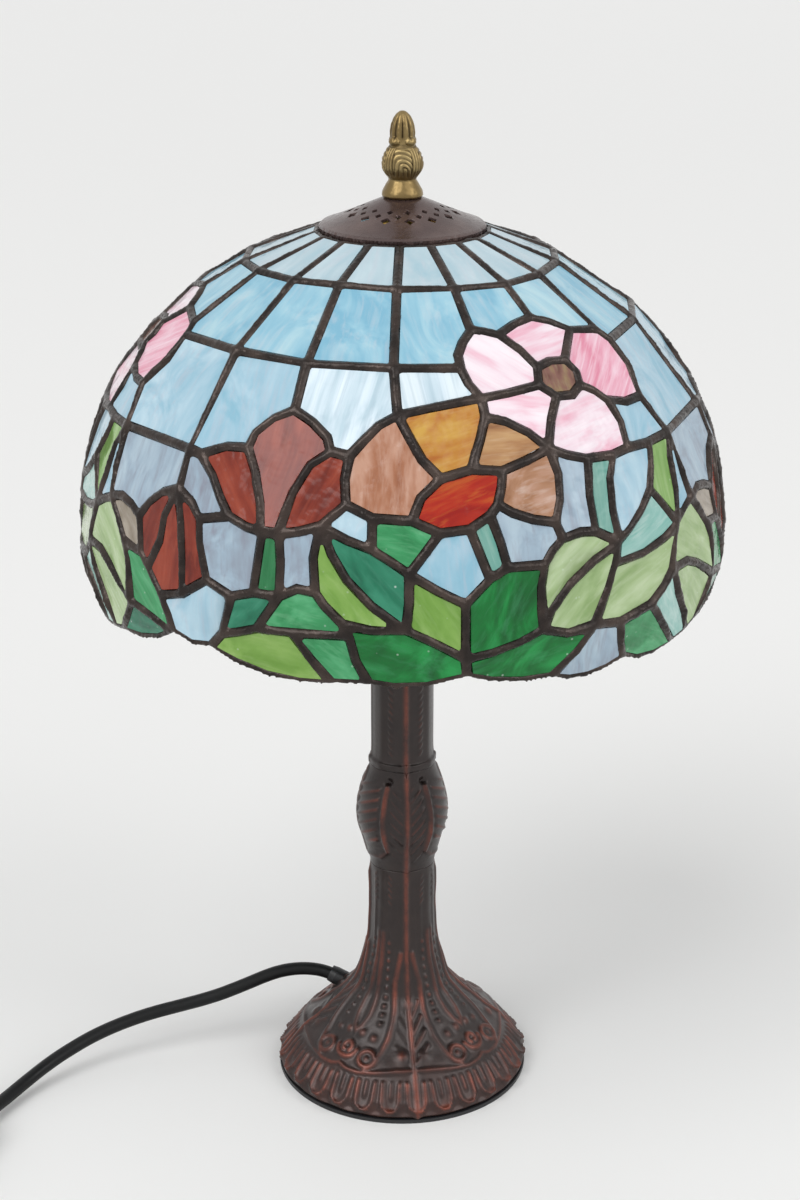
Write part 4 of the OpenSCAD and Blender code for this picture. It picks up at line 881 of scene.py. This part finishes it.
in_front = np.clip((across - 1) / 1.5, 0, 1) * np.clip((31 - fold) / 9, 0, 1)
in_side = np.clip((fold - 38) / 5, 0, 1) * np.clip((level - 124) / 5, 0, 1)
barbs = barbs * fade * np.where(front_leaf, in_front, in_side) * np.where(front_leaf & ~right, 0.55, 1)
edge = stroke(across, level, [(30, 158), (32, 152), (33, 142), (32.5, 134), (31, 128), (29, 124)], 1.15, 1.25)
leaf_end = stroke(across, level, [(29, 124), (45, 119.5), (90, 117)], 0.6, 1.4)
middle = stroke(across, level, [(0, 100), (0, 175)], 1.3, 1.25)
side_rib = stroke(across, level, [(90, 118), (90, 162)], 0.8, 1.6)
hole = -2.2 * np.exp(-((across - np.radians(29) * radius) ** 2 + (level - 160) ** 2) / 2.6)
sunk = -1.1 * np.clip((front_half + 3 - fold) / 5, 0, 1)
sunk = sunk * np.clip((level - 118) / 8, 0, 1) * np.clip((162 - level) / 6, 0, 1)
relief = np.maximum.reduce([0.85 * barbs, edge, leaf_end, middle, side_rib]) + hole
bared = np.array([0.6 + 0.8 * noise.noise(Vector(p) * 0.06) for p in co])
rub = np.clip((relief - 0.3) / 0.7, 0, 1) * np.clip(bared, 0.2, 1)
rub = np.maximum(rub, rib_rub * np.exp(-(across / rib_half) ** 2))
calm = np.clip((knop_high - level) / 3, 0, 1)
raise_relief(knop, co, angle, normal, outer, relief * calm + sunk, rub)
cast(knop, "knop")

# ------------------------------------------------------------------ column
# The column is a straight casting with a rib down its front, back and sides, and a chased
# chain on both sides of the front and back ribs.
column_low, column_high = 165.05, 246
column_line = [(15.8, column_low), (15.8, 168), (14.6, 171), (14.5, 190), (14.5, 225), (14.6, 238),
               (16.2, 241), (16.2, column_high)]
column, co, angle, up, normal, outer, radius = turned(
    "column_casting", column_line, [(5.3, column_high), (5.3, column_low)], 220, 0.6)
turn = (angle - rib_angle) % 180
fold = np.minimum(turn, 180 - turn)
stroke.radius = radius
across = np.radians(fold) * radius
level = co[:, 2]
links = [stroke(across, level, [(26.5, z), (31, z + 1.6)], 0.6, 0.9) for z in np.arange(173, 240, 3.6)]
relief = np.maximum.reduce(links + [stroke(across, level, [(0, 160), (0, 250)], 1.15, 1.25),
                                    stroke(across, level, [(90, 160), (90, 250)], 0.6, 1.6),
                                    stroke(across, level, [(50, 160), (50, 250)], 0.3, 2.2)])
bared = np.array([0.6 + 0.8 * noise.noise(Vector(p) * 0.06) for p in co])
rub = np.clip((relief - 0.3) / 0.6, 0, 1) * np.where(fold > 10, 0.6, 1) * np.clip(bared, 0.2, 1)
rub = np.maximum(rub, rib_rub * np.exp(-(across / rib_half) ** 2))
raise_relief(column, co, angle, normal, outer, relief, rub)
cast(column, "column")

# ----------------------------------------------------------- vent cap, cup
# The vent cap is spun from one sheet, with three rings of diamond holes, and lacquered dark
# bronze like the small cup on top of the column.
cap_bronze = metal("cap bronze", colour(84, 68, 66), colour(104, 86, 82), 0.85, 0.55)
wear("top_cup", cap_bronze)
vent_cap = bare_copy("vented_cap", "vent_cap")
vent_cap.data.materials.append(cap_bronze)
weld(vent_cap)
bpy.ops.object.shade_smooth_by_angle(angle=radians(35))
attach(vent_cap, "shade")
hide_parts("vent_cap")

# ------------------------------------------------------------------ finial
# Cast brass, aged dark in its grooves: a fluted bud with a collar of four balls, over a belly
# of curling leaves and a smooth flared foot. The waist under the collar has painted shade.
fin_low = 437.35
fin_line = [(8.2, 0), (9, 0.7), (9.15, 1.5), (8.8, 3), (7.4, 5.7), (6.3, 7.5), (6.4, 8.6), (7.7, 10.3),
            (8.9, 12.4), (9.3, 14.7), (8.9, 17.6), (7.4, 20.8), (5.7, 22.8), (5.2, 24.6), (5.5, 26.6),
            (5.6, 28.7), (5, 32), (3.7, 35), (2.2, 36.8), (1, 37.5), (0, 37.65)]
fin_inside = [(0, 11), (3.3, 11), (3.3, 0)]
finial, co, angle, up, normal, outer, radius = turned(
    "bud_finial", [(r, fin_low + z) for r, z in fin_line], [(r, fin_low + z) for r, z in fin_inside],
    200, 0.28)
stroke.radius = radius
level = co[:, 2] - fin_low
flutes = 0.8 * (np.abs(np.sin(np.radians(5 * angle))) ** 0.6 - 1)
flutes = flutes * np.clip((level - 25.2) / 1.5, 0, 1) * np.clip((37.2 - level) / 5, 0, 1)
balls = np.zeros(len(co))
for ball_angle in (45, 135, -135, -45):
    gap = (angle - ball_angle + 180) % 360 - 180
    inside = 1 - (np.radians(gap) * radius / 3) ** 2 - ((level - 24.6) / 2.2) ** 2
    balls = np.maximum(balls, 1.9 * np.sqrt(np.clip(inside, 0, 1)))
panel = (angle + 45) % 90 - 45
panel_x = np.radians(panel) * radius
eye_x, eye_up = panel_x - 1.3, level - 13 + 0.35 * (panel_x - 1.3)
ring = np.where(eye_up > 0, np.hypot(eye_x, eye_up), np.abs(eye_x))
curls = np.abs(np.cos(pi * ring / 2)) ** 0.6
rib_x = np.radians(45 - np.abs(panel)) * radius
ribs = np.abs(np.cos(pi * rib_x / 1.6)) ** 0.6
leaves = 0.6 * (np.where(np.abs(panel) < 30, curls, ribs) - 1)
leaves = leaves - 0.35 * np.exp(-((np.abs(panel) - 30) / 2.2) ** 2)
leaves = leaves * np.clip((level - 9.2) / 1.2, 0, 1) * np.clip((22.6 - level) / 1.2, 0, 1)
knocks = np.array([0.1 * noise.noise(Vector(p) * 0.6) for p in co])
wear_and_painted_shade = np.clip(1.05 + 1.5 * (flutes + leaves), 0, 1)
# Painted shade: between the balls and just below them the brass is darkened further, as shade falls there
# under the collar.
wear_and_painted_shade = np.where((np.abs(level - 22.9) < 0.9) & (balls < 0.1), wear_and_painted_shade * 0.45, wear_and_painted_shade)
raise_relief(finial, co, angle, normal, outer, flutes + leaves + balls + knocks, wear_and_painted_shade)

# Brass that has darkened in the grooves and stayed bright where hands touch it; the same dark colour is
# painted shade under the ball collar
shaded_antique_brass, tree, shader = new_material("antique brass")
rub = add(tree, "ShaderNodeAttribute", attribute_name="rub").outputs["Fac"]
marks = use(tree, patina, Lumps=900.0)
bright = add(tree, "ShaderNodeMixRGB", i0=marks.outputs["Crest"],
             i1=colour(128, 108, 70), i2=colour(166, 146, 102))
aged_and_shaded = add(tree, "ShaderNodeMixRGB", i0=rub, i1=colour(44, 32, 18), i2=bright.outputs[0])
level_rough = add(tree, "ShaderNodeMapRange", Value=rub, To_Min=0.55, To_Max=0.3)
bump = add(tree, "ShaderNodeBump", Strength=0.3, Distance=0.0002, Height=marks.outputs["Height"])
finish_surface(tree, shader, aged_and_shaded.outputs[0], level_rough.outputs["Result"], bump)
shader.inputs["Metallic"].default_value = 0.85
finial.data.materials.append(shaded_antique_brass)
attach(finial, "finial")
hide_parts("finial")
